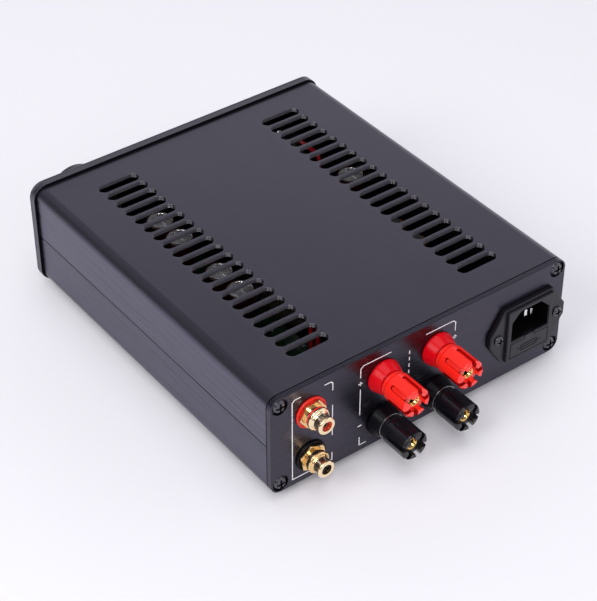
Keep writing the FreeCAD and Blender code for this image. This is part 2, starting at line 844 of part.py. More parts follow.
def power_switch():
    """The barrel has a flange in front and a square switch body behind."""
    flange = solid_rod("SwitchFlange", "switch_flange_radius", "switch_flange_height", "-switch_offset",
                       f"{FRONT_FACE} - switch_flange_height", MIDDLE_HEIGHT, "Y")
    barrel = solid_rod("SwitchBarrel", "switch_barrel_radius", "switch_barrel_length", "-switch_offset",
                       FRONT_FACE, MIDDLE_HEIGHT, "Y")
    contacts = solid_box("SwitchContacts", "switch_body_side", "switch_body_depth", "switch_body_side",
                         "-switch_offset", f"{FRONT_FACE} + switch_barrel_length + switch_body_depth / 2",
                         f"{MIDDLE_HEIGHT} - switch_body_side / 2")
    well = solid_rod("SwitchWell", "button_radius + fit_gap",
                     "switch_flange_height + button_stem + button_travel + fit_gap", "-switch_offset",
                     f"{FRONT_FACE} - switch_flange_height", MIDDLE_HEIGHT, "Y")
    finished(cut_from("Switch", joined("SwitchBlank", [flange, barrel, contacts]), well), "power_switch")


def power_button():
    """The button slides in the barrel, with a bevelled rim."""
    body = new_body("power_button", "-switch_offset", FRONT_FACE, MIDDLE_HEIGHT)
    front = "-switch_flange_height - button_reach"
    turned(body, [("0", front), ("button_radius - button_bevel", front),
                  ("button_radius", f"{front} + button_bevel"), ("button_radius", "button_stem"),
                  ("0", "button_stem")])


def power_light():
    """A clear dome in front of a round body behind the plate."""
    body = new_body("power_light", "-light_offset", FRONT_FACE, MIDDLE_HEIGHT)
    turned(body, [("0", "-light_dome"), ("light_radius / 2", "-light_dome * 0.8"),
                  ("light_radius", "0"), ("light_radius", "front_thickness"),
                  ("light_body_radius", "front_thickness"),
                  ("light_body_radius", "front_thickness + light_body_length"),
                  ("0", "front_thickness + light_body_length")])


power_switch()
finished(ring_nut("SwitchNut", "switch_nut_flats", "switch_nut_height", "switch_barrel_radius",
                  "-switch_offset", SHELL_FRONT, MIDDLE_HEIGHT), "power_switch_nut")
power_button()
power_light()


# Input sockets: gold-plated, insulated from the plate by a coloured washer

INPUT_NECK = "(input_washer_height + input_hex_height)"
INPUT_RING = f"({INPUT_NECK} + input_neck_length)"
INPUT_SHOULDER = f"({INPUT_RING} + input_ring_height)"
INPUT_BARREL = f"({INPUT_SHOULDER} + input_shoulder_height)"
INPUT_END = f"({INPUT_BARREL} + input_barrel_length)"


def input_socket(channel, row):
    """One socket with its washer, colour ring and inner sleeve."""
    spot = ("input_offset", REAR_FACE, f"{MIDDLE_HEIGHT} + {row}")
    washer = new_body(f"{channel}_input_washer", *spot)
    hole = "input_shank_radius + fit_gap"
    turned(washer, [(hole, "-rear_thickness"), ("input_hole_radius - fit_gap", "-rear_thickness"),
                    ("input_hole_radius - fit_gap", "0"), ("input_washer_radius", "0"),
                    ("input_washer_radius", "input_washer_height * 0.7"),
                    ("input_washer_radius - input_washer_height * 0.3", "input_washer_height"),
                    (hole, "input_washer_height")])

    socket = new_body(f"{channel}_input_socket", *spot, f"{channel}_hex_turn")
    hexes = new_sketch(socket, "Hexagon", offset="-input_washer_height")
    hexagon(hexes, "input_hex_flats")
    pad(socket, hexes, "input_hex_height", "Hexagon", True)
    groove = "input_shoulder_radius - 1"
    turned(socket, [("0", "-rear_thickness - input_shank_length"),
                    ("input_shank_radius", "-rear_thickness - input_shank_length"),
                    ("input_shank_radius", INPUT_NECK), ("input_neck_radius", INPUT_NECK),
                    ("input_neck_radius", INPUT_RING), (groove, INPUT_RING), (groove, INPUT_SHOULDER),
                    ("input_shoulder_radius", INPUT_SHOULDER), ("input_shoulder_radius", INPUT_BARREL),
                    ("input_barrel_radius", INPUT_BARREL),
                    ("input_barrel_radius", f"{INPUT_END} - input_lip_height"),
                    ("input_lip_radius", f"{INPUT_END} - input_lip_height * 0.7"),
                    ("input_lip_radius", f"{INPUT_END} - input_lip_height * 0.3"),
                    ("input_lip_radius - input_lip_height * 0.3", INPUT_END), ("0", INPUT_END)])
    bore = new_sketch(socket, "Bore", offset=f"-{INPUT_END}")
    circle(bore, "input_bore_radius")
    pocket(socket, bore, None, "Bore")

    ring = new_body(f"{channel}_input_ring", *spot)
    turned(ring, [(f"{groove} + face_gap", INPUT_RING), ("input_ring_radius", INPUT_RING),
                  ("input_ring_radius", INPUT_SHOULDER), (f"{groove} + face_gap", INPUT_SHOULDER)])

    sleeve = new_body(f"{channel}_input_sleeve", *spot)
    front = f"{INPUT_END} - input_sleeve_recess"
    back = "-rear_thickness - input_shank_length"
    outer = "input_bore_radius - face_gap"
    inner = "input_contact_radius + face_gap"
    turned(sleeve, [(inner, back), (outer, back), (outer, front), ("input_sleeve_bore", front),
                    ("input_sleeve_bore", f"{front} - input_sleeve_recess"),
                    (inner, f"{front} - input_sleeve_recess")])


def input_contacts():
    """The tube contacts in the middle of both sockets, with solder tails inside."""
    contacts = []
    for row in ("upper_row", "-lower_row"):
        up = f"{MIDDLE_HEIGHT} + {row}"
        start = f"{REAR_FACE} - rear_thickness - input_shank_length - input_contact_tail"
        front = f"{REAR_FACE} + {INPUT_END} - 2 * input_sleeve_recess"
        rod = solid_rod("ContactRod", "input_contact_radius", f"{front} - ({start})", "input_offset",
                        start, up, "Y")
        bore = solid_rod("ContactBore", "input_contact_bore", INPUT_END, "input_offset",
                         f"{REAR_FACE} - 2 * input_sleeve_recess", up, "Y")
        contacts.append(cut_from("Contact", rod, bore))
    finished(group_of("InputContacts", contacts), "input_contacts")


def row_rings(label, radius, bore, height, spots, start):
    """Like washers inside the rear plate."""
    rings = []
    for across, row in spots:
        up = f"{MIDDLE_HEIGHT} + {row}"
        disc = solid_rod("RingDisc", radius, height, across, start, up, "Y")
        hole = solid_rod("RingHole", bore, height, across, start, up, "Y")
        rings.append(cut_from("RingPiece", disc, hole))
    finished(group_of(label.title().replace("_", ""), rings), label)


def row_nuts(label, flats, bore, height, spots, start):
    """Like nuts inside the rear plate."""
    nuts = []
    for across, row in spots:
        nuts.append(ring_nut("RowNut", flats, height, bore, across, start, f"{MIDDLE_HEIGHT} + {row}"))
    finished(group_of(label.title().replace("_", ""), nuts), label)


input_socket("right", "upper_row")
input_socket("left", "-lower_row")
input_contacts()
INPUT_SPOTS = [("input_offset", "upper_row"), ("input_offset", "-lower_row")]
row_rings("input_inner_washers", "inner_washer_radius", "input_shank_radius + fit_gap",
          "inner_washer_height", INPUT_SPOTS, f"{SHELL_REAR} - inner_washer_height")
row_nuts("input_nuts", "input_nut_flats", "input_shank_radius", "input_nut_height", INPUT_SPOTS,
         f"{SHELL_REAR} - inner_washer_height - input_nut_height")


# Binding posts: a fluted cap screws up and down a gold-plated stud

RING_SEAT = "(collar_length + face_gap)"
CAP_SEAT = "(collar_length + post_ring_height + 2 * face_gap)"
CAP_RECESS = f"({POST_REACH} - cap_recess_depth)"


def binding_post(label, across, row, turn):
    """One post: collar, loose ring, stud and cap."""
    spot = (across, REAR_FACE, f"{MIDDLE_HEIGHT} + {row}")
    collar = new_body(f"{label}_collar", *spot)
    hole = "stud_radius + fit_gap"
    turned(collar, [(hole, "-rear_thickness"), ("collar_spigot_radius", "-rear_thickness"),
                    ("collar_spigot_radius", "0"), ("collar_base_radius", "0"),
                    ("collar_base_radius", "collar_rim"), ("collar_top_radius", "collar_length"),
                    (hole, "collar_length")])

    ring = new_body(f"{label}_ring", *spot)
    turned(ring, [("stud_radius + 2 * fit_gap", RING_SEAT), ("post_ring_radius", RING_SEAT),
                  ("post_ring_radius", f"{RING_SEAT} + post_ring_height"),
                  ("stud_radius + 2 * fit_gap", f"{RING_SEAT} + post_ring_height")])

    stud = new_body(f"{label}_stud", *spot)
    inner = "-rear_thickness - stud_shank_length"
    turned(stud, [("0", inner), ("stud_shank_radius", inner), ("stud_shank_radius", "-rear_thickness"),
                  ("stud_radius", "-rear_thickness"), ("stud_radius", CAP_RECESS),
                  ("stud_bore_radius", CAP_RECESS),
                  ("stud_bore_radius", f"{CAP_RECESS} - stud_bore_depth"),
                  ("0", f"{CAP_RECESS} - stud_bore_depth")])
    wire = new_sketch(stud, "WireHole", "XY_Plane")
    circle(wire, "wire_hole_radius", "0", f"{CAP_SEAT} + wire_hole_radius")
    pocket(stud, wire, None, "WireHole")

    cap = new_body(f"{label}_cap", *spot, turn)
    grip = "stud_radius + fit_gap"
    turned(cap, [(grip, CAP_SEAT), ("cap_neck_radius", CAP_SEAT),
                 ("cap_neck_radius", f"{CAP_SEAT} + cap_neck_length"),
                 ("cap_radius", f"{CAP_SEAT} + cap_neck_length + cap_flare"),
                 ("cap_radius", f"{POST_REACH} - cap_bevel"), ("cap_radius - cap_bevel", POST_REACH),
                 ("cap_recess_radius", POST_REACH), ("cap_recess_radius", CAP_RECESS), (grip, CAP_RECESS)])
    cutter = new_sketch(cap, "FluteOutline", "XY_Plane", "flute_floor")
    flute_outline(cutter)
    flute = pocket(cap, cutter, "cap_radius", "Flute", True)
    around(cap, flute, "flute_count", "Flutes")


def flute_outline(sketch):
    """A flute seen from outside: round at its inner end and open at the cap's end."""
    radius = number_of("flute_width") / 2
    start = f"({POST_REACH} - flute_length + flute_width / 2)"
    end = f"({POST_REACH} + cap_bevel)"
    low = number_of(start)
    high = number_of(end)
    normal = FreeCAD.Vector(0, 0, 1)
    round_end = Part.Circle(FreeCAD.Vector(0, low, 0), normal, radius)
    sketch.addGeometry(Part.ArcOfCircle(round_end, math.pi, 2 * math.pi), False)
    corners = [FreeCAD.Vector(radius, low, 0), FreeCAD.Vector(radius, high, 0),
               FreeCAD.Vector(-radius, high, 0), FreeCAD.Vector(-radius, low, 0)]
    for first, second in zip(corners, corners[1:]):
        sketch.addGeometry(Part.LineSegment(first, second), False)
    sketch.addConstraint(Sketcher.Constraint("Tangent", 0, 2, 1, 1))
    sketch.addConstraint(Sketcher.Constraint("Coincident", 1, 2, 2, 1))
    sketch.addConstraint(Sketcher.Constraint("Coincident", 2, 2, 3, 1))
    sketch.addConstraint(Sketcher.Constraint("Tangent", 3, 2, 0, 1))
    held = sketch.addConstraint(Sketcher.Constraint("Radius", 0, radius))
    sketch.setExpression(f"Constraints[{held}]", sized("flute_width / 2"))
    pin_point(sketch, 0, 3, "0", start)
    sketch.addConstraint(Sketcher.Constraint("Horizontal", 2))
    held = sketch.addConstraint(Sketcher.Constraint("DistanceY", -1, 1, 1, 2, high))
    sketch.setExpression(f"Constraints[{held}]", sized(end))


POSTS = [("right_red_post", "first_post_offset", "upper_row", "red_cap_turn"),
         ("left_red_post", "-second_post_offset", "upper_row", "red_cap_turn"),
         ("right_black_post", "first_post_offset", "-lower_row", "black_cap_turn"),
         ("left_black_post", "-second_post_offset", "-lower_row", "black_cap_turn")]
for post in POSTS:
    binding_post(*post)
POST_SPOTS = [post[1:3] for post in POSTS]
row_rings("post_inner_washers", "post_washer_radius", "stud_shank_radius + fit_gap",
          "post_washer_height", POST_SPOTS, f"{SHELL_REAR} - post_washer_height")
row_nuts("post_nuts", "post_nut_flats", "stud_shank_radius", "post_nut_height", POST_SPOTS,
         f"{SHELL_REAR} - post_washer_height - post_nut_height")


# Mains inlet: one moulding with the pins' socket above a sliding fuse drawer

INLET_FACE = "(inlet_flange_height + inlet_block_rise)"
DRAWER_DEEP = "(drawer_face + drawer_tray_depth)"


def inlet_housing():
    """Flange with pointed ears, raised block, body behind, pin socket and drawer well."""
    body = new_body("inlet_housing", INLET_SIDE, REAR_FACE, INLET_HEIGHT)
    half_tip = "inlet_tip / 2"
    half_span = "inlet_span / 2"
    half_width = "inlet_flange_width / 2"
    half_height = "inlet_height / 2"
    flange = new_sketch(body, "FlangeOutline")
    outline(flange, [(f"-({half_span})", f"-({half_tip})"), (f"-({half_width})", f"-({half_height})"),
                     (half_width, f"-({half_height})"), (half_span, f"-({half_tip})"),
                     (half_span, half_tip), (half_width, half_height),
                     (f"-({half_width})", half_height), (f"-({half_span})", half_tip)])
    plate_pad = pad(body, flange, "inlet_flange_height", "Flange", True)
    level = number_of("inlet_flange_height")
    dress(body, "Chamfer", plate_pad, lambda edge: lies_at(edge, 1, level), "inlet_bevel")
    block = new_sketch(body, "BlockOutline")
    rectangle(block, "inlet_block_width", "inlet_block_height")
    block_pad = pad(body, block, INLET_FACE, "Block", True)
    face = number_of(INLET_FACE)
    dress(body, "Chamfer", block_pad, lambda edge: lies_at(edge, 1, face), "inlet_bevel")
    rear = new_sketch(body, "BodyOutline")
    rectangle(rear, "inlet_body_width", "inlet_body_height")
    pad(body, rear, "inlet_body_depth", "RearBody")
    well = new_sketch(body, "SocketOutline", offset=f"-{INLET_FACE}")
    socket_outline(well, "0")
    pocket(body, well, "socket_depth", "Socket", True)
    mouth = new_sketch(body, "MouthOutline", offset=f"-{INLET_FACE}")
    socket_outline(mouth, "socket_mouth")
    pocket(body, mouth, "socket_mouth", "Mouth", True)
    drawer_well = new_sketch(body, "DrawerWell", offset=f"-{INLET_FACE}")
    rectangle(drawer_well, "drawer_width + 2 * drawer_gap", "drawer_height + 2 * drawer_gap",
              up="-drawer_drop")
    pocket(body, drawer_well, "drawer_face", "DrawerSeat", True)
    tray_well = new_sketch(body, "TrayWell", offset=f"-{INLET_FACE}")
    rectangle(tray_well, "drawer_tray_width + 2 * drawer_gap", "drawer_tray_height + 2 * drawer_gap",
              up="-drawer_drop")
    pocket(body, tray_well, f"{DRAWER_DEEP} + drawer_gap", "TrayWell", True)
    tab_well = new_sketch(body, "TabWell", offset=f"-{INLET_FACE}")
    rectangle(tab_well, "drawer_tab_width + 2 * drawer_gap", "2 * drawer_tab_height",
              up="-drawer_drop + drawer_height / 2")
    pocket(body, tab_well, "drawer_face", "TabWell", True)
    screws = new_sketch(body, "EarHoles")
    for hand in (-1, 1):
        circle(screws, "inlet_screw_radius + fit_gap", f"{hand} * inlet_screw_pitch / 2")
    pocket(body, screws, None, "EarHoles")
    slots = new_sketch(body, "PinSlots")
    for across, up, _ in pin_places():
        rectangle(slots, "pin_width", "pin_height", across, up)
    pocket(body, slots, None, "PinSlots")


def socket_outline(sketch, growth):
    """The socket's outline, its two upper corners cut off."""
    half_width = f"(socket_width / 2 + {growth})"
    low = f"(socket_rise - socket_height / 2 - {growth})"
    high = f"(socket_rise + socket_height / 2 + {growth})"
    outline(sketch, [(f"-{half_width}", low), (half_width, low), (half_width, f"{high} - socket_corner"),
                     (f"{half_width} - socket_corner", high), (f"-{half_width} + socket_corner", high),
                     (f"-{half_width}", f"{high} - socket_corner")])


def pin_places():
    """The three pins and how much shorter each is: earth above the middle, the other two below."""
    return [("0", "socket_rise + pin_drop", "0"), ("-pin_spread", "socket_rise - pin_drop", "pin_step"),
            ("pin_spread", "socket_rise - pin_drop", "pin_step")]


def inlet_pins():
    """Three flat pins that run through the moulding to tails behind it."""
    pins = []
    for across, up, step in pin_places():
        length = f"inlet_body_depth + pin_tail + pin_length - {step} - socket_depth + {INLET_FACE}"
        middle = f"{REAR_FACE} - inlet_body_depth - pin_tail + ({length}) / 2"
        pins.append(solid_box("Pin", "pin_width", length, "pin_height", f"{INLET_SIDE} + {across}", middle,
                              f"{INLET_HEIGHT} + {up} - pin_height / 2"))
    finished(group_of("InletPins", pins), "inlet_pins")


def fuse_drawer():
    """The drawer's face fills the well, and an open tray behind it holds the fuse."""
    body = new_body("fuse_drawer", INLET_SIDE, f"{REAR_FACE} + {INLET_FACE}", INLET_HEIGHT)
    face = new_sketch(body, "FaceOutline")
    rectangle(face, "drawer_width", "drawer_height", up="-drawer_drop")
    pad(body, face, "drawer_face - face_gap", "Face")
    tab = new_sketch(body, "TabOutline")
    rectangle(tab, "drawer_tab_width", "2 * (drawer_tab_height - drawer_tray_wall)",
              up="-drawer_drop + drawer_height / 2")
    pad(body, tab, "drawer_face - face_gap", "Tab")
    tray = new_sketch(body, "TrayOutline")
    rectangle(tray, "drawer_tray_width", "drawer_tray_height", up="-drawer_drop")
    pad(body, tray, DRAWER_DEEP, "Tray")
    well = new_sketch(body, "FuseWell", "XY_Plane", "-drawer_drop + drawer_tray_height / 2")
    rectangle(well, "drawer_tray_width - 2 * drawer_tray_wall", "drawer_tray_depth - 2 * drawer_tray_wall",
              up="-drawer_face - drawer_tray_depth / 2")
    pocket(body, well, "drawer_tray_height - drawer_tray_wall", "FuseWell")


def fuse():
    """A glass cartridge lying across the tray."""
    rod = solid_rod("FuseRod", "fuse_radius", "fuse_length", f"{INLET_SIDE} - fuse_length / 2",
                    f"{REAR_FACE} + {INLET_FACE} - drawer_face - drawer_tray_depth / 2",
                    f"{INLET_HEIGHT} - drawer_drop - drawer_tray_height / 2 + drawer_tray_wall"
                    " + fuse_radius + face_gap", "X")
    finished(rod, "fuse")


def inlet_screws():
    """Two small screws through the flange's ears."""
    size = ("inlet_screw_radius", "inlet_screw_length", "inlet_screw_head", "inlet_screw_dome",
            "inlet_screw_height")
    screws = []
    for hand in (-1, 1):
        screws.append(pan_screw("InletScrew", size, f"{INLET_SIDE} + {hand} * inlet_screw_pitch / 2",
                                f"{REAR_FACE} + inlet_flange_height", INLET_HEIGHT, 1))
    finished(group_of("InletScrews", screws), "inlet_screws")


inlet_housing()
inlet_pins()
fuse_drawer()
fuse()
inlet_screws()


# Circuit boards: one for the amplifier and one for the supply, on plastic snap pillars

BOARD_FRONT = f"({SHELL_FRONT} + board_front_gap)"
AMPLIFIER_WIDTH = "(case_width / 2 - board_edge_gap - amplifier_core_gap - core_radius + core_side)"
SUPPLY_WIDTH = "(case_width / 2 - board_edge_gap - supply_core_gap - core_radius - core_side)"
AMPLIFIER_MIDDLE = f"(case_width / 2 - board_edge_gap - {AMPLIFIER_WIDTH} / 2)"
SUPPLY_MIDDLE = f"({SUPPLY_WIDTH} / 2 + board_edge_gap - case_width / 2)"
BOARDS = [("amplifier_board", AMPLIFIER_MIDDLE, AMPLIFIER_WIDTH),
          ("supply_board", SUPPLY_MIDDLE, SUPPLY_WIDTH)]


def pillar_places(width):
    """The four pillar places of a board, from its middle."""
    return [(f"{hand} * ({width} / 2 - pillar_inset)", f"{end} * (board_length / 2 - pillar_inset)")
            for hand in (-1, 1) for end in (-1, 1)]


def circuit_board(label, across, width):
    """A board with a hole for each pillar."""
    body = new_body(label, across, f"{BOARD_FRONT} + board_length / 2", f"{FLOOR} + board_rise")
    sketch = new_sketch(body, "BoardOutline", "XY_Plane")
    rectangle(sketch, width, "board_length")
    pad(body, sketch, "board_thickness", "Board")
    holes = new_sketch(body, "PillarHoles", "XY_Plane")
    for place_x, place_y in pillar_places(width):
        circle(holes, "pillar_hole_radius", place_x, place_y)
    pocket(body, holes, None, "PillarHoles")


def board_pillars():
    """Snap pillars: a hexagon below the board and a stud through it."""
    pillars = []
    for _, middle, width in BOARDS:
        for place_x, place_y in pillar_places(width):
            across = f"{middle} + {place_x}"
            along = f"{BOARD_FRONT} + board_length / 2 + {place_y}"
            base = solid_prism("PillarBase", "pillar_flats", "board_rise", across, along, FLOOR)
            stud = solid_rod("PillarStud", "pillar_stud_radius", "board_thickness + pillar_stud_height",
                             across, along, f"{FLOOR} + board_rise")
            pillars.append(joined("Pillar", [base, stud]))
    finished(group_of("BoardPillars", pillars), "board_pillars")


for board_label, board_across, board_width in BOARDS:
    circuit_board(board_label, board_across, board_width)
board_pillars()


# Reservoir capacitors: cans with a bevelled top edge

def reservoir_capacitors():
    """Four cans in a line under one row of vents, and one under the other."""
    side = f"{HEATSINK_SIDE} - sink_width / 2 - device_thickness - reservoir_sink_gap - reservoir_radius"
    line = [(side, f"{pair} * reservoir_pair_gap + {step} * reservoir_pitch - reservoir_first")
            for pair in (0, 1) for step in (0, 1)]
    cans = []
    for across, along in line + [(f"{SUPPLY_MIDDLE} + supply_can_shift", "-supply_can_along")]:
        can = solid_rod("Can", "reservoir_radius", "reservoir_height - reservoir_bead", across, along,
                        BOARD_TOP)
        crown = solid_cone("Crown", "reservoir_radius", "reservoir_radius - reservoir_bead",
                           "reservoir_bead", across, along,
                           f"{BOARD_TOP} + reservoir_height - reservoir_bead")
        cans.append(joined("Reservoir", [can, crown]))
    finished(group_of("Reservoirs", cans), "reservoir_capacitors")


reservoir_capacitors()


# Transformer: a wound ring held down by a dished disc and a bolt

def transformer():
    """The wound ring stands on the floor of the lower half."""
    body = new_body("transformer", "-core_side", "0", FLOOR)
    section = new_sketch(body, "RingSection", "XZ_Plane")
    outline(section, [("core_hole_radius", "0"), ("core_radius - core_corner", "0"),
                      ("core_radius", "core_corner"), ("core_radius", "core_height - core_corner"),
                      ("core_radius - core_corner", "core_height"), ("core_hole_radius", "core_height")])
    ring = body.newObject("PartDesign::Revolution", "Ring")
    ring.Profile = section
    ring.ReferenceAxis = (section, ["V_Axis"])
    ring.Angle = 360
    changed(body, ring, True)


def transformer_bolt():
    """The bolt with its disc."""
    top = f"{FLOOR} + core_height"
    disc = solid_rod("CoreDisc", "core_disc_radius", "core_disc_thickness", "-core_side", "0", top)
    head = solid_prism("CoreBoltHead", "core_bolt_flats", "core_bolt_head", "-core_side", "0",
                       f"{top} + core_disc_thickness")
    shank = solid_rod("CoreBoltShank", "core_bolt_radius", "core_height", "-core_side", "0", FLOOR)
    finished(joined("CoreBolt", [disc, head, shank]), "transformer_bolt")


transformer()
transformer_bolt()


# Heatsink: an extruded comb, with the output devices clamped against its inner side

def heatsink():
    """A base with fins standing up from it."""
    body = new_body("heatsink", HEATSINK_SIDE, "-sink_along", BOARD_TOP)
    base = new_sketch(body, "BaseOutline", "XY_Plane")
    rectangle(base, "sink_width", "sink_length")
    pad(body, base, "sink_base", "Base")
    fin = new_sketch(body, "FinOutline", "XY_Plane")
    rectangle(fin, "fin_thickness", "sink_length", "-sink_width / 2 + fin_thickness / 2")
    upright = pad(body, fin, "sink_height", "Fin")
    in_line(body, upright, "X_Axis", "sink_width - fin_thickness", "fin_count", "Fins")


def output_devices():
    """A line of flat packages, each on three leads."""
    devices = []
    for step in range(int(SIZES["device_count"])):
        across = f"{HEATSINK_SIDE} - sink_width / 2 - device_thickness / 2"
        along = f"({step} - (device_count - 1) / 2) * device_pitch - sink_along"
        pieces = [solid_box("DeviceCase", "device_thickness", "device_width", "device_height", across,
                            along, f"{BOARD_TOP} + device_lift")]
        for lead in (-1, 0, 1):
            pieces.append(solid_box("DeviceLead", "lead_width", "lead_width", "device_lift + lead_width",
                                    across, f"{along} + {lead} * device_width / 3", BOARD_TOP))
        devices.append(joined("Device", pieces))
    finished(group_of("OutputDevices", devices), "output_devices")


heatsink()
output_devices()


# Filter coils: copper wire wound on a rod core that shows at the top

def filter_coils():
    """Two upright coils on the supply board."""
    coils = []
    across = f"{SUPPLY_MIDDLE} + coil_shift"
    for step in (0, 1):
        along = f"coil_first + {step} * coil_pitch"
        winding = solid_rod("Winding", "coil_radius", "coil_height", across, along, BOARD_TOP)
        core = solid_rod("CoilCore", "coil_core_radius", "coil_height + coil_core_radius / 2", across,
                         along, BOARD_TOP)
        coils.append(joined("Coil", [winding, core]))
    finished(group_of("FilterCoils", coils), "filter_coils")


filter_coils()


# Internal leads: insulated wires from the sockets, posts, inlet and switch down to the boards

def lead(name, across, along, up, heading, reach):
    """A wire that starts level at a place, runs towards a heading and bends down onto a board."""
    body = document.addObject("PartDesign::Body", name)
    turn = FreeCAD.Rotation(FreeCAD.Vector(0, 0, 1), heading)
    body.Placement = FreeCAD.Placement(FreeCAD.Vector(), turn)
    place(body, across, f"{along} - lead_radius * abs(sin({heading}))", up)
    path = new_sketch(body, "Path", "YZ_Plane")
    far = number_of(reach)
    bend = number_of("lead_bend")
    low = number_of(f"{up} - {BOARD_TOP}")
    path.addGeometry(Part.LineSegment(FreeCAD.Vector(0, 0, 0), FreeCAD.Vector(far - bend, 0, 0)), False)
    corner = Part.Circle(FreeCAD.Vector(far - bend, -bend, 0), FreeCAD.Vector(0, 0, 1), bend)
    path.addGeometry(Part.ArcOfCircle(corner, 0, math.pi / 2), False)
    path.addGeometry(Part.LineSegment(FreeCAD.Vector(far, -bend, 0), FreeCAD.Vector(far, -low, 0)), False)
    path.addConstraint(Sketcher.Constraint("Tangent", 0, 2, 1, 2))
    path.addConstraint(Sketcher.Constraint("Tangent", 1, 1, 2, 1))
    held = path.addConstraint(Sketcher.Constraint("Radius", 1, bend))
    path.setExpression(f"Constraints[{held}]", "Sizes.lead_bend")
    pin_point(path, 0, 1, "0", "0")
    pin_point(path, 0, 2, f"{reach} - lead_bend", "0")
    pin_point(path, 2, 2, reach, f"{BOARD_TOP} - ({up})")
    section = new_sketch(body, "Section")
    circle(section, "lead_radius")
    wire = body.newObject("PartDesign::AdditivePipe", "Wire")
    wire.Profile = section
    wire.Spine = (path, ["Edge1", "Edge2", "Edge3"])
    changed(body, wire, True)
    return body


def internal_leads():
    """Four leads from the posts, two from the phono sockets, two from the inlet, two from the switch."""
    high = f"{MIDDLE_HEIGHT} + upper_row"
    low = f"{MIDDLE_HEIGHT} - lower_row"
    posts = f"{REAR_FACE} - rear_thickness - stud_shank_length"
    sockets = f"{REAR_FACE} - rear_thickness - input_shank_length - input_contact_tail"
    leads = [lead("RightRedLead", "first_post_offset", posts, high, 180, "long_lead_reach"),
             lead("RightBlackLead", "first_post_offset", posts, low, 180, "short_lead_reach"),
             lead("LeftRedLead", "-second_post_offset", posts, high, -140, "slant_lead_reach"),
             lead("LeftBlackLead", "-second_post_offset", posts, low, -145, "slant_lead_reach"),
             lead("RightInputLead", "input_offset", sockets, high, 180, "signal_lead_reach"),
             lead("LeftInputLead", "input_offset", sockets, low, 165, "signal_lead_reach")]
    tails = f"{REAR_FACE} - inlet_body_depth - pin_tail"
    tail_height = f"{INLET_HEIGHT} + socket_rise - pin_drop"
    contacts = f"{FRONT_FACE} + switch_barrel_length + switch_body_depth"
    for hand in (-1, 1):
        leads.append(lead("InletLead", f"{INLET_SIDE} + {hand} * pin_spread", tails, tail_height, 180,
                          "inlet_lead_reach"))
        leads.append(lead("SwitchLead", f"-switch_offset + {hand} * switch_lead_spread / 2", contacts,
                          f"{MIDDLE_HEIGHT} + switch_body_side / 4", 0, "switch_lead_reach"))
    finished(group_of("Leads", leads), "internal_leads")


internal_leads()


# Check every object, then write one file for each sub-part

def hand_out():
    """Write the nodes once every object is sound."""
    document.recompute()
    for thing in document.Objects:
        if "Invalid" in thing.State or "Error" in thing.State:
            raise RuntimeError(f"{thing.Label} did not compute: {thing.State}")
    os.makedirs("parts", exist_ok=True)
    for node in nodes:
        shape = node.Shape
        if shape.isNull() or not shape.isValid() or not shape.Solids:
            raise RuntimeError(f"{node.Label} has no sound shape")
        shape.exportStep(f"parts/{node.Label}.step")
        print(f"{node.Label}: {len(shape.Solids)} solids, {shape.Volume:.1f} mm3")


hand_out()
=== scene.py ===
import math

import bmesh
import bpy
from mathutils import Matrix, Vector


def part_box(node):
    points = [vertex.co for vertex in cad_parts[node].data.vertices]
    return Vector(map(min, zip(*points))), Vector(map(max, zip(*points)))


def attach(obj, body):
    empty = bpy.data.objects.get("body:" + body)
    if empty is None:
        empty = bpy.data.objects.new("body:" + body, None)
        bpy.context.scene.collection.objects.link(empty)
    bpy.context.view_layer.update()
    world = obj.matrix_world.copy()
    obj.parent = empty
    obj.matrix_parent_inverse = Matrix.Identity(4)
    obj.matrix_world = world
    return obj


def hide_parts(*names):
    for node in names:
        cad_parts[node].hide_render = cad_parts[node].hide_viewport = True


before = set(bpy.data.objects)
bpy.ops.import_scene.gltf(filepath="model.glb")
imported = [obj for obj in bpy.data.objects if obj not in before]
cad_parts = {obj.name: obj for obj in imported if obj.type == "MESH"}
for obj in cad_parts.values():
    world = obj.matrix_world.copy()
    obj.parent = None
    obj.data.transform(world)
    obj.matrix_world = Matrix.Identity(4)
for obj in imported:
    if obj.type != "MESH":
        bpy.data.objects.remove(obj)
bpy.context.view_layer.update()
MM = 0.001


# The two case halves are aluminium extrusions, anodised dark grey and brushed along their length.
# The upper one is milled through with two rows of long vents. Fine gaps show where the halves meet
# and short of the rear plate. The sizes of pieces are in millimetres, here and below.
CASE_HALF_WIDTH = 95
CASE_BOTTOM = 5
CASE_MIDDLE = 35.5
CASE_TOP = 66
CASE_FRONT = -106.7
CASE_END = 105.75
CASE_WALL = 2.5
CASE_ROUNDING = 6
SHEET_MIDDLE = (CASE_FRONT + CASE_END) / 2
SEAM_GAP = 0.2
SEAM_BEVEL = 0.15
VENT_LENGTH = 25.2
VENT_WIDTH = 7.1
VENT_RIM = 0.14
VENT_COUNT = 20
VENT_ROW_LENGTH = 171
VENT_ROW_SPACING = 109.6
VENT_ROW_MIDDLE = -0.55


def new_object(name, data):
    """An object in the scene."""
    made = bpy.data.objects.new(name, data)
    bpy.context.scene.collection.objects.link(made)
    return made


def applied(*objects):
    """The plain mesh that the first object's modifiers make with the others, which all go."""
    bpy.context.view_layer.update()
    made = bpy.data.meshes.new_from_object(objects[0].evaluated_get(bpy.context.evaluated_depsgraph_get()))
    for part in objects:
        bpy.data.objects.remove(part)
    return made


def plain_mesh(name, mesh):
    """A mesh for objects from a mesh being built."""
    made = bpy.data.meshes.new(name)
    mesh.to_mesh(made)
    mesh.free()
    return made


def corner(mesh, across, along, up):
    """A new corner of a mesh."""
    return mesh.verts.new((across * MM, along * MM, up * MM))


def bridge(mesh, first, second, gap=None):
    """Faces between two loops of corners, with none at the gap."""
    for index in range(len(first)):
        if index != gap:
            follow = (index + 1) % len(first)
            mesh.faces.new((first[index], first[follow], second[follow], second[index]))


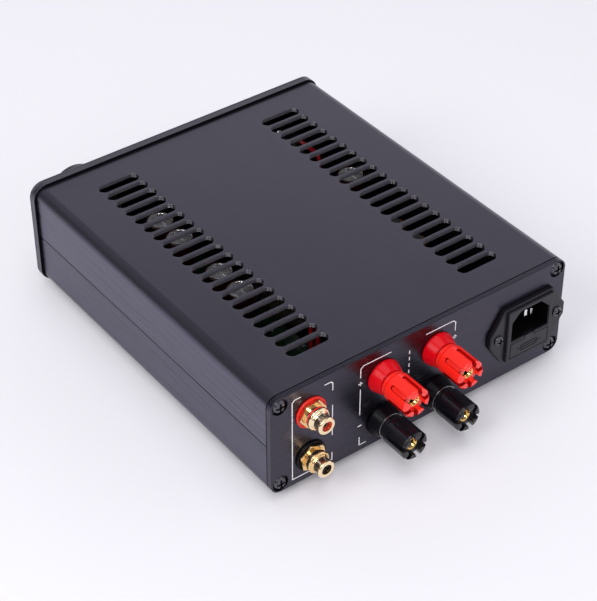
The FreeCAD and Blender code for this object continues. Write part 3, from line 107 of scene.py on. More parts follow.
def finish_piece(name, mesh, material, body, *nodes, sharp=30):
    """Show a mesh in place of CAD nodes, riding on their body, with its flat faces kept flat."""
    mesh.name = name
    mesh.shade_smooth()
    mesh.set_sharp_from_angle(angle=math.radians(sharp))
    if material:
        mesh.materials.clear()
        mesh.materials.append(material)
    piece = new_object(name, mesh)
    flat = piece.modifiers.new("Flat faces", "WEIGHTED_NORMAL")
    flat.keep_sharp = True
    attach(piece, body)
    if nodes:
        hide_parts(*nodes)
    return piece


def set_inputs(node, inputs):
    """Set a node's inputs to values, or link them to other nodes' outputs."""
    for label, value in inputs.items():
        if isinstance(value, bpy.types.NodeSocket):
            node.id_data.links.new(value, node.inputs[label])
        else:
            node.inputs[label].default_value = value


def add_node(tree, kind, inputs, **settings):
    """A new node with its settings and inputs."""
    node = tree.nodes.new(kind)
    for label, value in settings.items():
        setattr(node, label, value)
    set_inputs(node, inputs)
    return node


def result(tree, kind, inputs, output=0, **settings):
    """The output of a new node."""
    return add_node(tree, kind, inputs, **settings).outputs[output]


def math_node(tree, operation, first, second, clamp=False):
    """The result of a sum on two outputs or numbers."""
    return result(tree, "ShaderNodeMath", {0: first, 1: second}, operation=operation, use_clamp=clamp)


def new_material(name, color, metallic, roughness):
    """A material with plain starting values on its shader."""
    made = bpy.data.materials.new(name)
    made.use_nodes = True
    shader = made.node_tree.nodes["Principled BSDF"]
    set_inputs(shader, {"Base Color": (*color, 1), "Metallic": metallic, "Roughness": roughness})
    return made, made.node_tree, shader


def grain_group():
    """Fine parallel scratches with slow changes of tone: the scale sets their direction."""
    group = bpy.data.node_groups.new("Grain", "ShaderNodeTree")
    for label, kind, value in (("Scale", "NodeSocketVector", (2000, 20, 2000)),
                               ("Cloud Scale", "NodeSocketFloat", 25), ("Strength", "NodeSocketFloat", 0.2),
                               ("Cloud Strength", "NodeSocketFloat", 0.1)):
        group.interface.new_socket(label, in_out="INPUT", socket_type=kind).default_value = value
    for label in ("Tone", "Scratches"):
        group.interface.new_socket(label, in_out="OUTPUT", socket_type="NodeSocketFloat")
    given = group.nodes.new("NodeGroupInput").outputs
    place = result(group, "ShaderNodeTexCoord", {}, "Object")
    stretched = result(group, "ShaderNodeVectorMath", {0: place, 1: given["Scale"]}, operation="MULTIPLY")
    scratches = result(group, "ShaderNodeTexNoise", {
        "Vector": stretched, "Scale": 1, "Detail": 4, "Roughness": 0.6}, "Fac")
    cloud = result(group, "ShaderNodeTexNoise", {
        "Vector": place, "Scale": given["Cloud Scale"], "Detail": 2}, "Fac")
    fine = math_node(group, "MULTIPLY", math_node(group, "SUBTRACT", scratches, 0.5), given["Strength"])
    slow = math_node(group, "MULTIPLY", math_node(group, "SUBTRACT", cloud, 0.5), given["Cloud Strength"])
    tone = math_node(group, "ADD", math_node(group, "ADD", fine, slow), 1)
    add_node(group, "NodeGroupOutput", {"Tone": tone, "Scratches": scratches})
    return group


grain = grain_group()


def grained(name, color, metallic, roughness, grain_inputs, bump_strength, bump):
    """A material with grain in its colour, gloss and surface."""
    made, tree, shader = new_material(name, color, metallic, roughness)
    tone, scratches = add_node(tree, "ShaderNodeGroup", grain_inputs, node_tree=grain).outputs
    set_inputs(shader, {
        "Base Color": result(tree, "ShaderNodeVectorMath", {0: color, "Scale": tone}, operation="SCALE"),
        "Roughness": math_node(tree, "MULTIPLY", tone, roughness, clamp=True),
        "Normal": result(tree, "ShaderNodeBump",
                         {"Strength": bump_strength, "Distance": bump * MM, "Height": scratches})})
    return made, shader


def brushed(name, color, roughness, scale, strength=0.25, clouds=0.08, metallic=1.0, bump=0.02):
    """Metal with fine scratches."""
    return grained(name, color, metallic, roughness,
                   {"Scale": scale, "Strength": strength, "Cloud Strength": clouds}, 0.5, bump)[0]


case_finish = brushed("dark_anodised_case", (0.086, 0.082, 0.107), 0.33, (2600, 16, 2600))
side_finish = brushed("brushed_case_side", (0.107, 0.101, 0.143), 0.33, (1300, 9, 1300), strength=1.8)
# The lower half's sides are painted darker than the upper half's: painted shade from the floor close to the
# case.
lower_side_painted_shade = brushed("brushed_side_painted_lower_shade", (0.094, 0.089, 0.126), 0.33, (1300, 9, 1300), strength=1.8)
vent_finish = brushed("machined_vent", (0.19, 0.178, 0.205), 0.42, (300, 300, 2600), strength=0.4, bump=0.002)
# The cutter leaves level marks round a vent, which stretch its gloss upright.
upright = result(vent_finish.node_tree, "ShaderNodeCombineXYZ", {"Z": 1})
set_inputs(vent_finish.node_tree.nodes["Principled BSDF"], {"Anisotropic": 1, "Tangent": upright})


def vent_lining(steps=16):
    """The rim and walls of one vent, centred below its top face."""
    radius = VENT_WIDTH / 2
    mesh = bmesh.new()
    loops = []
    for grow, depth in ((VENT_RIM, 0), (0.3 * VENT_RIM, 0.3 * VENT_RIM), (0, VENT_RIM),
                        (0, CASE_WALL - VENT_RIM), (VENT_RIM, CASE_WALL)):
        loop = []
        for end in (1, -1):
            for step in range(steps + 1):
                turn = math.pi * (step / steps - end / 2)
                loop.append(corner(mesh, end * (VENT_LENGTH / 2 - radius) + (radius + grow) * math.cos(turn),
                                   (radius + grow) * math.sin(turn), -depth))
        loops.append(loop)
    for upper, lower in zip(loops, loops[1:]):
        bridge(mesh, upper, lower)
    return plain_mesh("vent_lining", mesh)


def sized_tree(name, sizes, counts, *meshes):
    """A Geometry Nodes tree with named inputs for its starting meshes, sizes and counts."""
    tree = bpy.data.node_groups.new(name, "GeometryNodeTree")
    for label in meshes:
        tree.interface.new_socket(label, in_out="INPUT", socket_type="NodeSocketGeometry")
    for values, kind, unit in ((sizes, "NodeSocketFloat", MM), (counts, "NodeSocketInt", 1)):
        for label, value in values.items():
            tree.interface.new_socket(label, in_out="INPUT", socket_type=kind).default_value = value * unit
    tree.interface.new_socket("Geometry", in_out="OUTPUT", socket_type="NodeSocketGeometry")
    return tree, tree.nodes.new("NodeGroupInput").outputs


def joined(tree, *parts):
    """Several geometry outputs as one."""
    join = tree.nodes.new("GeometryNodeJoinGeometry")
    for part in parts:
        tree.links.new(part, join.inputs[0])
    return join.outputs[0]


def vent_tree():
    """Geometry Nodes: a flat sheet with rows of vents, and a lining set into each."""
    tree, given = sized_tree("Vented Sheet", {
        "Sheet Width": 2 * (CASE_HALF_WIDTH - CASE_ROUNDING), "Sheet Length": CASE_END - CASE_FRONT,
        "Thickness": CASE_WALL, "Hole Length": VENT_LENGTH + 2 * VENT_RIM,
        "Hole Width": VENT_WIDTH + 2 * VENT_RIM, "Row Spacing": VENT_ROW_SPACING,
        "Row Length": VENT_ROW_LENGTH, "Row Shift": VENT_ROW_MIDDLE - SHEET_MIDDLE},
        {"Holes per Row": VENT_COUNT}, "Lining")
    sheet = result(tree, "GeometryNodeCurvePrimitiveQuadrilateral",
                   {"Width": given["Sheet Width"], "Height": given["Sheet Length"]})
    hole = result(tree, "GeometryNodeCurvePrimitiveQuadrilateral",
                  {"Width": given["Hole Length"], "Height": given["Hole Width"]})
    end_radius = math_node(tree, "MULTIPLY", given["Hole Width"], 0.4999)
    hole = result(tree, "GeometryNodeFilletCurve", {"Curve": hole, "Count": 8, "Radius": end_radius},
                  mode="POLY")
    rows = result(tree, "GeometryNodeMeshGrid", {
        "Size X": given["Row Spacing"], "Size Y": given["Row Length"],
        "Vertices X": 2, "Vertices Y": given["Holes per Row"]})
    shift = result(tree, "ShaderNodeCombineXYZ", {"Y": given["Row Shift"]})
    rows = result(tree, "GeometryNodeTransform", {"Geometry": rows, "Translation": shift})
    holes = result(tree, "GeometryNodeInstanceOnPoints", {"Points": rows, "Instance": hole})
    outline = result(tree, "GeometryNodeRealizeInstances", {0: joined(tree, holes, sheet)})
    top = result(tree, "GeometryNodeFillCurve", {"Curve": outline})
    under = result(tree, "GeometryNodeFlipFaces", {"Mesh": top})
    down = result(tree, "ShaderNodeCombineXYZ", {"Z": math_node(tree, "MULTIPLY", given["Thickness"], -1)})
    under = result(tree, "GeometryNodeTransform", {"Geometry": under, "Translation": down})
    linings = result(tree, "GeometryNodeInstanceOnPoints", {"Points": rows, "Instance": given["Lining"]})
    linings = result(tree, "GeometryNodeRealizeInstances", {0: linings})
    coated = [result(tree, "GeometryNodeSetMaterial", {"Geometry": part, "Material": material})
              for part, material in ((linings, vent_finish), (joined(tree, under, top), case_finish))]
    add_node(tree, "NodeGroupOutput", {0: joined(tree, *coated)})
    return tree


def evaluated_mesh(start_mesh, tree, sizes=None):
    """The plain mesh that a Geometry Nodes tree makes from a starting mesh, with other sizes if given."""
    maker = new_object("maker", start_mesh)
    modifier = maker.modifiers.new("Nodes", "NODES")
    modifier.node_group = tree
    for socket in tree.interface.items_tree:
        if socket.in_out == "INPUT" and socket.socket_type != "NodeSocketGeometry":
            modifier[socket.identifier] = (sizes or {}).get(socket.name, socket.default_value)
    return applied(maker)


def case_side(mesh, hand, seam, level, direction, steps=14):
    """One side wall with its rounded edge: direction is 1 for the upper half and -1 for the lower."""
    outside = [(CASE_HALF_WIDTH - SEAM_BEVEL, seam), (CASE_HALF_WIDTH, seam + direction * SEAM_BEVEL)]
    inside = []
    for step in range(steps + 1):
        turn = math.pi / 2 * step / steps
        for points, radius in ((outside, CASE_ROUNDING), (inside, CASE_ROUNDING - CASE_WALL)):
            points.append((CASE_HALF_WIDTH - CASE_ROUNDING + radius * math.cos(turn),
                           level + direction * (radius * math.sin(turn) - CASE_ROUNDING)))
    section = outside + inside[::-1] + [(CASE_HALF_WIDTH - CASE_WALL, seam)]
    front, rear = ([corner(mesh, hand * across, along, up) for across, up in section]
                   for along in (CASE_FRONT, CASE_END))
    bridge(mesh, front, rear, gap=len(outside) - 1)


def case_half(name, seam, level, direction, sheet, side_material):
    """A half case from its side walls and a flat sheet."""
    mesh = bmesh.new()
    for hand in (-1, 1):
        case_side(mesh, hand, seam, level, direction)
    mesh.from_mesh(sheet)
    bmesh.ops.remove_doubles(mesh, verts=mesh.verts, dist=0.002 * MM)
    for along in (CASE_FRONT, CASE_END):
        rim = [edge for edge in mesh.edges if edge.is_boundary
               and all(abs(vert.co.y / MM - along) < 0.001 for vert in edge.verts)]
        bmesh.ops.holes_fill(mesh, edges=rim, sides=0)
    bmesh.ops.recalc_face_normals(mesh, faces=mesh.faces)
    made = plain_mesh(name, mesh)
    for material in (case_finish, vent_finish, side_material):
        made.materials.append(material)
    for face in made.polygons:
        if abs(face.normal.x) > 0.95 and abs(face.center.x / MM) > CASE_HALF_WIDTH - 1:
            face.material_index = 2
    return made


def plain_sheet(level, direction):
    """The flat part of the lower half."""
    mesh = bmesh.new()
    half = CASE_HALF_WIDTH - CASE_ROUNDING
    for up in (level, level - direction * CASE_WALL):
        mesh.faces.new([corner(mesh, across, along, up) for across, along in
                        ((-half, CASE_FRONT), (half, CASE_FRONT), (half, CASE_END), (-half, CASE_END))])
    return plain_mesh("plain_sheet", mesh)


vented = evaluated_mesh(vent_lining(), vent_tree())
for vertex in vented.vertices:
    vertex.co += Vector((0, SHEET_MIDDLE, CASE_TOP)) * MM
for face in vented.polygons:
    face.material_index = 0 if abs(face.normal.z) > 0.999 else 1
upper_half = case_half("upper_case", CASE_MIDDLE + SEAM_GAP, CASE_TOP, 1, vented, side_finish)
finish_piece("upper_case", upper_half, None, "amplifier", "top_cover")
lower_half = case_half("lower_case", CASE_MIDDLE - SEAM_GAP, CASE_BOTTOM, -1, plain_sheet(CASE_BOTTOM, -1),
                       lower_side_painted_shade)
finish_piece("lower_case", lower_half, None, "amplifier", "bottom_cover")


# The rear and front plates are cut from sheet, with rounded corners and fine bevels, and dark
# anodised. The rear one is grained from side to side. The thick front one stands proud all round.
# Both have round seats for their screws.
REAR_FACE = 109.3
REAR_SEAT = REAR_FACE - 1.6
FRONT_FACE = -111.7
FRONT_SEAT = FRONT_FACE + 1.6
SCREW_PLACES = [(hand * 89.2, CASE_MIDDLE + side * 25) for hand in (-1, 1) for side in (-1, 1)]
POST_PLACES = {"right_red_post": (26, 48), "left_red_post": (-8.5, 48),
               "right_black_post": (26, 19.5), "left_black_post": (-8.5, 19.5)}
INPUT_PLACES = {"right": (70.9, 48), "left": (70.9, 19.5)}
INLET_PLACE = (-69, 34.3)
KNOB_PLACE = (56, CASE_MIDDLE)
SWITCH_PLACE = (-70, CASE_MIDDLE)
LIGHT_PLACE = (-50, CASE_MIDDLE)


def rounded_outline(width, height, radius, steps=10, middle=(0, CASE_MIDDLE)):
    """Points round a rectangle with rounded corners."""
    points = []
    for quarter in range(4):
        turn = math.pi / 2 * quarter
        corner_x = (width / 2 - radius) * (1 if quarter in (0, 3) else -1)
        corner_y = (height / 2 - radius) * (1 if quarter in (0, 1) else -1)
        for step in range(steps + 1):
            angle = turn + math.pi / 2 * step / steps
            points.append((middle[0] + corner_x + radius * math.cos(angle),
                           middle[1] + corner_y + radius * math.sin(angle)))
    return points


def round_outline(radius, middle, steps=40):
    """Points round a circle."""
    return [(middle[0] + radius * math.cos(2 * math.pi * step / steps),
             middle[1] + radius * math.sin(2 * math.pi * step / steps)) for step in range(steps)]


def cut_plate(outlines, low, high, bevel, bevel_steps=2):
    """A plate between two levels of Y, from an outline and its holes, with eased edges."""
    curve = bpy.data.curves.new("plate", "CURVE")
    curve.dimensions = "2D"
    curve.fill_mode = "BOTH"
    curve.extrude = ((high - low) / 2 - bevel) * MM
    curve.bevel_depth = bevel * MM
    curve.bevel_resolution = bevel_steps
    curve.offset = -bevel * MM
    for points in outlines:
        spline = curve.splines.new("POLY")
        spline.points.add(len(points) - 1)
        for point, (across, up) in zip(spline.points, points):
            point.co = (across * MM, up * MM, 0, 1)
        spline.use_cyclic_u = True
    mesh = bmesh.new()
    mesh.from_mesh(applied(new_object("maker", curve)))
    bpy.data.curves.remove(curve)
    for vert in mesh.verts:
        vert.co = Vector((vert.co.x, (low + high) / 2 * MM - vert.co.z, vert.co.y))
    bmesh.ops.remove_doubles(mesh, verts=mesh.verts, dist=0.001 * MM)
    bmesh.ops.recalc_face_normals(mesh, faces=mesh.faces)
    return plain_mesh("plate", mesh)


def together(meshes):
    """Several meshes as one."""
    mesh = bmesh.new()
    for made in meshes:
        mesh.from_mesh(made)
    return plain_mesh("joined", mesh)


def seated_plate(outlines, *layers):
    """A plate of two layers: the first has the wide seats of the screws, the second their holes."""
    return together([cut_plate(outlines + [round_outline(radius, place) for place in SCREW_PLACES], *layer)
                     for radius, layer in zip((4.7, 1.7), layers)])


plate_finish = brushed("dark_anodised_plate", (0.060, 0.056, 0.075), 0.28, (22, 2600, 2600), strength=0.5,
                       clouds=0.12)
rear_holes = [round_outline(4.9, place) for place in INPUT_PLACES.values()]
rear_holes += [round_outline(4.6, place) for place in POST_PLACES.values()]
rear_holes.append(rounded_outline(28, 32, 1, 3, INLET_PLACE))
rear_mesh = seated_plate([rounded_outline(190, 61, 6)] + rear_holes, (REAR_SEAT, REAR_FACE, 0.22),
                         (REAR_FACE - 3, REAR_SEAT, 0.05))
finish_piece("rear_plate", rear_mesh, plate_finish, "amplifier", "rear_panel")

front_finish = brushed("dark_anodised_front", (0.10, 0.096, 0.118), 0.36, (24, 2600, 2600), strength=0.45)
# A near-black finish for the back face of the front plate's proud rim: painted shade under the overhang.
front_back_painted_shade = brushed("plate_back_painted_shade", (0.012, 0.011, 0.016), 0.6, (900, 900, 900), strength=0.3)
front_holes = [round_outline(radius, place) for radius, place in
               ((3.6, KNOB_PLACE), (6.1, SWITCH_PLACE), (1.6, LIGHT_PLACE))]
front_mesh = seated_plate([rounded_outline(193, 64, 8.5, 14)] + front_holes, (FRONT_FACE, FRONT_SEAT, 0.5, 3),
                          (FRONT_SEAT, CASE_FRONT, 0.12))
finish_piece("front_plate", front_mesh, front_finish, "amplifier", "front_panel")
# The rim's back face, towards the case, gets the painted shade.
front_mesh.materials.append(front_back_painted_shade)
for face in front_mesh.polygons:
    if face.normal.y > 0.9 and face.center.y / MM > FRONT_SEAT + 1:
        face.material_index = 1


# The print on the rear plate is thin white ink: frames round the sockets and posts, a dashed line
# between the two channels, and the signs of the poles. It lies a hair above the metal.
INK_LEVEL = REAR_FACE + 0.04
LINE_WIDTH = 0.55
DASH_WIDTH = 0.6
SIGN_WIDTH = 0.75


def ink_stroke(mesh, width, *points):
    """A flat line of ink through points across and above the plate's middle, mitred at its bends."""
    track = [Vector(point) for point in points]
    sides = []
    for index, point in enumerate(track):
        before = (point - track[index - 1]).normalized() if index else None
        after = (track[index + 1] - point).normalized() if index + 1 < len(track) else None
        before = before or after
        after = after or before
        bend = (before + after).normalized()
        across = Vector((-bend.y, bend.x)) * (width / 2 / max(0.3, bend.dot(after)))
        sides.append((point + across, point - across))
    for upper, lower in zip(sides, sides[1:]):
        face = mesh.faces.new([corner(mesh, x, INK_LEVEL, z + CASE_MIDDLE)
                               for x, z in (upper[0], lower[0], lower[1], upper[1])])
        face.normal_update()
        if face.normal.y < 0:
            face.normal_flip()


ink_mesh = bmesh.new()
for frame_line in [
        [(76.8, 25.1), (80.6, 25.1), (82.0, 23.6), (82.0, -26.6), (57.5, -26.6), (57.5, -21.7)],
        [(62.6, 25.1), (58.6, 25.1), (57.5, 24.0), (57.5, 19.2)], [(57.5, 9.8), (57.5, -10.2)],
        [(21.2, 25.1), (38.8, 25.1), (40.3, 23.6), (40.3, 18.0)], [(40.3, 10.4), (40.3, -6.4)],
        [(40.3, -21.2), (40.3, -26.6), (36.0, -26.6)],
        [(-0.9, 25.1), (-18.8, 25.1), (-20.3, 23.6), (-20.3, 18.0)], [(-20.3, 10.4), (-20.3, -6.4)],
        [(-20.3, -21.2), (-20.3, -26.6), (-16.2, -26.6)]]:
    ink_stroke(ink_mesh, LINE_WIDTH, *frame_line)
for middle in (40.3, -20.3):
    ink_stroke(ink_mesh, SIGN_WIDTH, (middle - 1.2, 14.2), (middle + 1.2, 14.2))
    ink_stroke(ink_mesh, SIGN_WIDTH, (middle, 13.0), (middle, 15.4))
    ink_stroke(ink_mesh, SIGN_WIDTH, (middle - 1.2, -13.6), (middle + 1.2, -13.6))
for step in range(11):
    ink_stroke(ink_mesh, DASH_WIDTH, (9.4, 20.1 - 4.2 * step), (9.4, 17.8 - 4.2 * step))
ink = brushed("white_ink", (0.88, 0.87, 0.90), 0.6, (900, 900, 900), strength=0.1, metallic=0, bump=0.002)
ink_piece = finish_piece("rear_print", plain_mesh("rear_print", ink_mesh), ink, "amplifier")


# Black steel machine screws hold the plates in their round seats. They have low domed heads with a
# pressed cross recess, whose inside is painted darker: painted shade.
ON_AXIS = 1e-9


def eased(profile, radius, steps):
    """Round each corner of a half section in metres, but for ends on the axis."""
    points = [Vector(point) for point in profile]
    rounded = []
    for index, point in enumerate(points):
        if point.x < ON_AXIS:
            rounded.append(point)
            continue
        to_before, to_after = points[index - 1] - point, points[(index + 1) % len(points)] - point
        reach = min(radius, to_before.length * 0.45, to_after.length * 0.45)
        start = point + to_before.normalized() * reach
        end = point + to_after.normalized() * reach
        for step in range(steps + 1):
            part = step / steps
            rounded.append((1 - part) ** 2 * start + 2 * part * (1 - part) * point + part ** 2 * end)
    return rounded


def turned(profile, ease=0, steps=48, corner_steps=3):
    """Turn a half section of radius and distance about the Y axis; its ends may lie on the axis."""
    profile = [(radius * MM, along * MM) for radius, along in profile]
    mesh = bmesh.new()
    rings = []
    for radius, along in eased(profile, ease * MM, corner_steps) if ease else profile:
        angles = [2 * math.pi * step / steps for step in range(steps if radius > ON_AXIS else 1)]
        rings.append([mesh.verts.new((radius * math.sin(angle), along, radius * math.cos(angle)))
                      for angle in angles])
    pairs = list(zip(rings, rings[1:]))
    if len(rings[0]) > 1 and len(rings[-1]) > 1:
        pairs.append((rings[-1], rings[0]))
    for first, second in pairs:
        for step in range(steps):
            follow = (step + 1) % steps
            corners = dict.fromkeys((first[step % len(first)], first[follow % len(first)],
                                     second[follow % len(second)], second[step % len(second)]))
            if len(corners) > 2:
                mesh.faces.new(list(corners))
    bmesh.ops.recalc_face_normals(mesh, faces=mesh.faces)
    return plain_mesh("turned", mesh)


def box_mesh(low, high):
    """A plain cutter between two corners."""
    mesh = bmesh.new()
    bmesh.ops.create_cube(mesh, size=1)
    for vert in mesh.verts:
        vert.co = Vector([(start + (share + 0.5) * (end - start)) * MM
                          for start, end, share in zip(low, high, vert.co)])
    return plain_mesh("box", mesh)


def carved(base, cutters, bevel=0, segments=2, operation="DIFFERENCE", sharp=40):
    """A mesh with others cut out of it and its sharp edges eased."""
    parts = [new_object("part", made) for made in [base] + cutters]
    for cutter in parts[1:]:
        cut = parts[0].modifiers.new("Cut", "BOOLEAN")
        cut.operation = operation
        cut.solver = "EXACT"
        cut.object = cutter
    if bevel:
        ease = parts[0].modifiers.new("Ease", "BEVEL")
        ease.width = bevel * MM
        ease.segments = segments
        ease.limit_method = "ANGLE"
        ease.angle_limit = math.radians(sharp)
    return applied(*parts)


def moved(made, place, flip=False):
    """A copy of a mesh at a place, turned end for end if asked."""
    copy = made.copy()
    shift = Vector([value * MM for value in place])
    for vertex in copy.vertices:
        x, y, z = vertex.co
        vertex.co = Vector((-x, -y, z) if flip else (x, y, z)) + shift
    return copy


def spread(made, places, flip=False):
    """Copies of a mesh at several places, as one mesh."""
    return together([moved(made, place, flip) for place in places])


def cross_screw(head, dome, height, shank, length, cross, slot, depth):
    """A domed screw head with a cross recess, its seat at the origin and its head towards +Y."""
    blank = turned([(0, -length), (shank, -length), (shank, 0), (head, 0), (head, 0.35 * height),
                    (dome, 0.88 * height), (0.5 * dome, height), (0, height)], 0.25)
    cutters = [box_mesh((-across / 2, height - depth, -up / 2), (across / 2, height + 1, up / 2))
               for across, up in ((cross, slot), (slot, cross))]
    screw = carved(blank, cutters, 0.06, 1)
    # Faces inside the cross recess take the second slot, which is painted shade.
    for face in screw.polygons:
        across, along, up = face.center / MM
        in_head = 0.1 * height < along < 0.8 * height
        face.material_index = int(in_head and math.hypot(across, up) < cross / 2 + 0.1)
    return screw


def finish_screws(name, screws, node):
    """Screws with painted shade in their recesses."""
    finish_piece(name, screws, black_steel, "amplifier", node)
    screws.materials.append(black_steel_painted_recess_shade)


black_steel = brushed("black_steel", (0.10, 0.098, 0.11), 0.24, (400, 400, 400), strength=0.3, metallic=0.9)
# Near-black steel for the inside of the cross recesses: painted shade.
black_steel_painted_recess_shade = brushed("black_steel_painted_recess_shade", (0.018, 0.017, 0.021), 0.5, (400, 400, 400), strength=0.3,
                       metallic=0.9)
case_screw = cross_screw(head=3.85, dome=2.6, height=2.4, shank=1.6, length=11,
                         cross=5.0, slot=1.3, depth=1.8)
for side, level, is_front in (("rear", REAR_SEAT, False), ("front", FRONT_SEAT, True)):
    finish_screws(f"{side}_screws", spread(case_screw, [(x, level, z) for x, z in SCREW_PLACES], is_front),
                  f"{side}_panel_screws")


# The binding posts: a glossy moulded collar against the plate, a thin metal ring, a gold-plated
# tube on the stud, and a fluted cap that screws down on it. Two are red and two are black.
COLLAR_LENGTH = 7.1
CAP_SEAT = 7.7
POST_REACH = 26.9
CAP_BOTTOM = POST_REACH - 3
FLUTE_LENGTH = 13.4
FLUTE_HALF = 1.4


def plastic(name, color, roughness, coat=0.0, mottle=0.06, speckle=900, gloss_level=0.5):
    """Moulded plastic with a faint orange-peel surface and uneven gloss."""
    made, shader = grained(name, color, 0, roughness, {
        "Scale": (speckle, speckle, speckle), "Cloud Scale": 120,
        "Strength": mottle, "Cloud Strength": mottle}, 0.35, 0.01)
    set_inputs(shader, {"Specular IOR Level": gloss_level, "Coat Weight": coat, "Coat Roughness": 0.06})
    return made


def flute_cutter():
    """A U-shaped bar, round at its inner end, that cuts one shallow flute at the top of the cap."""
    start = POST_REACH - FLUTE_LENGTH + FLUTE_HALF
    turns = [math.pi + math.pi * step / 12 for step in range(13)]
    outline = [(FLUTE_HALF * math.cos(turn), start + FLUTE_HALF * math.sin(turn)) for turn in turns]
    outline += [(FLUTE_HALF, POST_REACH + 1), (-FLUTE_HALF, POST_REACH + 1)]
    mesh = bmesh.new()
    low, high = ([corner(mesh, across, along, up) for across, along in outline] for up in (6.3, 10))
    mesh.faces.new(low[::-1])
    mesh.faces.new(high)
    bridge(mesh, low, high)
    bmesh.ops.recalc_face_normals(mesh, faces=mesh.faces)
    return plain_mesh("flute", mesh)


def around_y(made, angle):
    """A copy of a mesh turned about the Y axis by degrees."""
    copy = made.copy()
    cosine, sine = math.cos(math.radians(angle)), math.sin(math.radians(angle))
    for vertex in copy.vertices:
        x, y, z = vertex.co
        vertex.co = (x * cosine + z * sine, y, z * cosine - x * sine)
    return copy


cap_blank = turned([(3.5, CAP_SEAT), (7.2, CAP_SEAT), (7.2, 9.6), (8.1, 10.8), (8.1, POST_REACH - 1.1),
                    (7.0, POST_REACH), (4.7, POST_REACH), (4.7, CAP_BOTTOM), (3.5, CAP_BOTTOM)], 0.25, 96)
flute = [flute_cutter(), box_mesh((-FLUTE_HALF, CAP_BOTTOM, 4.4), (FLUTE_HALF, POST_REACH + 1, 10))]
cap_mesh = carved(cap_blank, [around_y(cutter, 60 * step) for step in range(6) for cutter in flute], 0.2, 2)
collar_mesh = turned([(3.5, -3), (4.5, -3), (4.5, 0), (9.6, 0), (9.6, 1), (7.7, COLLAR_LENGTH),
                      (3.5, COLLAR_LENGTH)], 0.35, 72)
stud_blank = turned([(0, -23), (2.5, -23), (2.5, -3), (3.4, -3), (3.4, CAP_BOTTOM), (3.1, CAP_BOTTOM),
                     (2.05, POST_REACH - 4.4), (2.05, POST_REACH - 16), (0, POST_REACH - 16)], 0.12, 56)
wire_bore = turned([(0, -6), (1.25, -6), (1.25, 6), (0, 6)], 0, 24)
for vertex in wire_bore.vertices:
    x, y, z = vertex.co
    vertex.co = (x, 8.95 * MM + z, y)
stud_mesh = carved(stud_blank, [wire_bore])

red_collar = plastic("clear_red_plastic", (0.60, 0.002, 0.008), 0.22, mottle=0.03, gloss_level=0.16)
red_cap = plastic("bright_red_plastic", (0.93, 0.018, 0.010), 0.16, mottle=0.03, gloss_level=0.8)
# A deeper red for the walls of the red caps' flutes: painted shade in the grooves.
red_flute_painted_shade = plastic("red_flute_wall_painted_shade", (0.36, 0.001, 0.001), 0.25, mottle=0.03, gloss_level=0.3)
black_collar = plastic("glossy_black_plastic", (0.002, 0.002, 0.004), 0.3, gloss_level=0.13)
black_cap = plastic("satin_black_plastic", (0.005, 0.005, 0.008), 0.27, mottle=0.03, gloss_level=0.5)
gold = brushed("gold_plating", (0.95, 0.62, 0.20), 0.13, (900, 60, 900), strength=0.08, clouds=0.04,
               bump=0.002)
ring_metal = brushed("nickel_ring", (0.60, 0.58, 0.56), 0.14, (600, 600, 600), strength=0.2)
for post, (x, z) in POST_PLACES.items():
    spot = (x, REAR_FACE, z)
    is_red = "red" in post
    finish_piece(f"{post}_collar_moulding", moved(collar_mesh, spot), red_collar if is_red else black_collar,
                 "amplifier", f"{post}_collar")
    finish_piece(f"{post}_tube", moved(stud_mesh, spot), gold, "amplifier", f"{post}_stud")
    ring_radius = 6.6 if is_red else 7.4
    ring_mesh = turned([(3.6, 7.15), (ring_radius, 7.15), (ring_radius, 7.65), (3.6, 7.65)], 0.12, 72)
    finish_piece(f"{post}_loose_ring", moved(ring_mesh, spot), ring_metal, f"{post}_ring", f"{post}_ring")
    placed_cap = moved(around_y(cap_mesh, -10.5 if is_red else 18), spot)
    finish_piece(f"{post}_fluted_cap", placed_cap, red_cap if is_red else black_cap, f"{post}_cap",
                 f"{post}_cap")
    placed_cap.materials.append(red_flute_painted_shade if is_red else black_cap)
    # The flute walls of the red caps get the painted shade; the black caps keep one black plastic.
    for face in placed_cap.polygons:
        across, along, up = face.center / MM - Vector(spot)
        outward = Vector((across, 0, up))
        in_flute = abs(face.normal.y) < 0.3 or 13.5 < along < 15.5
        if in_flute and abs(face.normal.dot(outward.normalized())) < 0.75 and outward.length > 5:
            face.material_index = 1


# The phono sockets: an insulating washer, a gold-plated body with a hexagon and a shoulder, a thin
# ring in the channel's colour between them, and an insulator with the contact in its bore.
def hexagon_mesh(flats, low, high, ease):
    """A hexagon along Y with its corners turned down at both ends."""
    reach = flats / 2 / math.cos(math.radians(30))
    turns = [math.pi / 3 * step for step in range(6)]
    prism = bmesh.new()
    first, second = ([corner(prism, reach * math.cos(turn), along, reach * math.sin(turn)) for turn in turns]
                     for along in (low, high))
    prism.faces.new(first)
    prism.faces.new(second[::-1])
    bridge(prism, first, second)
    bmesh.ops.recalc_face_normals(prism, faces=prism.faces)
    limit = turned([(0, low), (flats / 2 + ease, low), (reach + 0.05, low + ease),
                    (reach + 0.05, high - ease), (flats / 2 + ease, high), (0, high)], 0, 72)
    return carved(plain_mesh("hexagon", prism), [limit], 0.12, 2, "INTERSECT", 35)


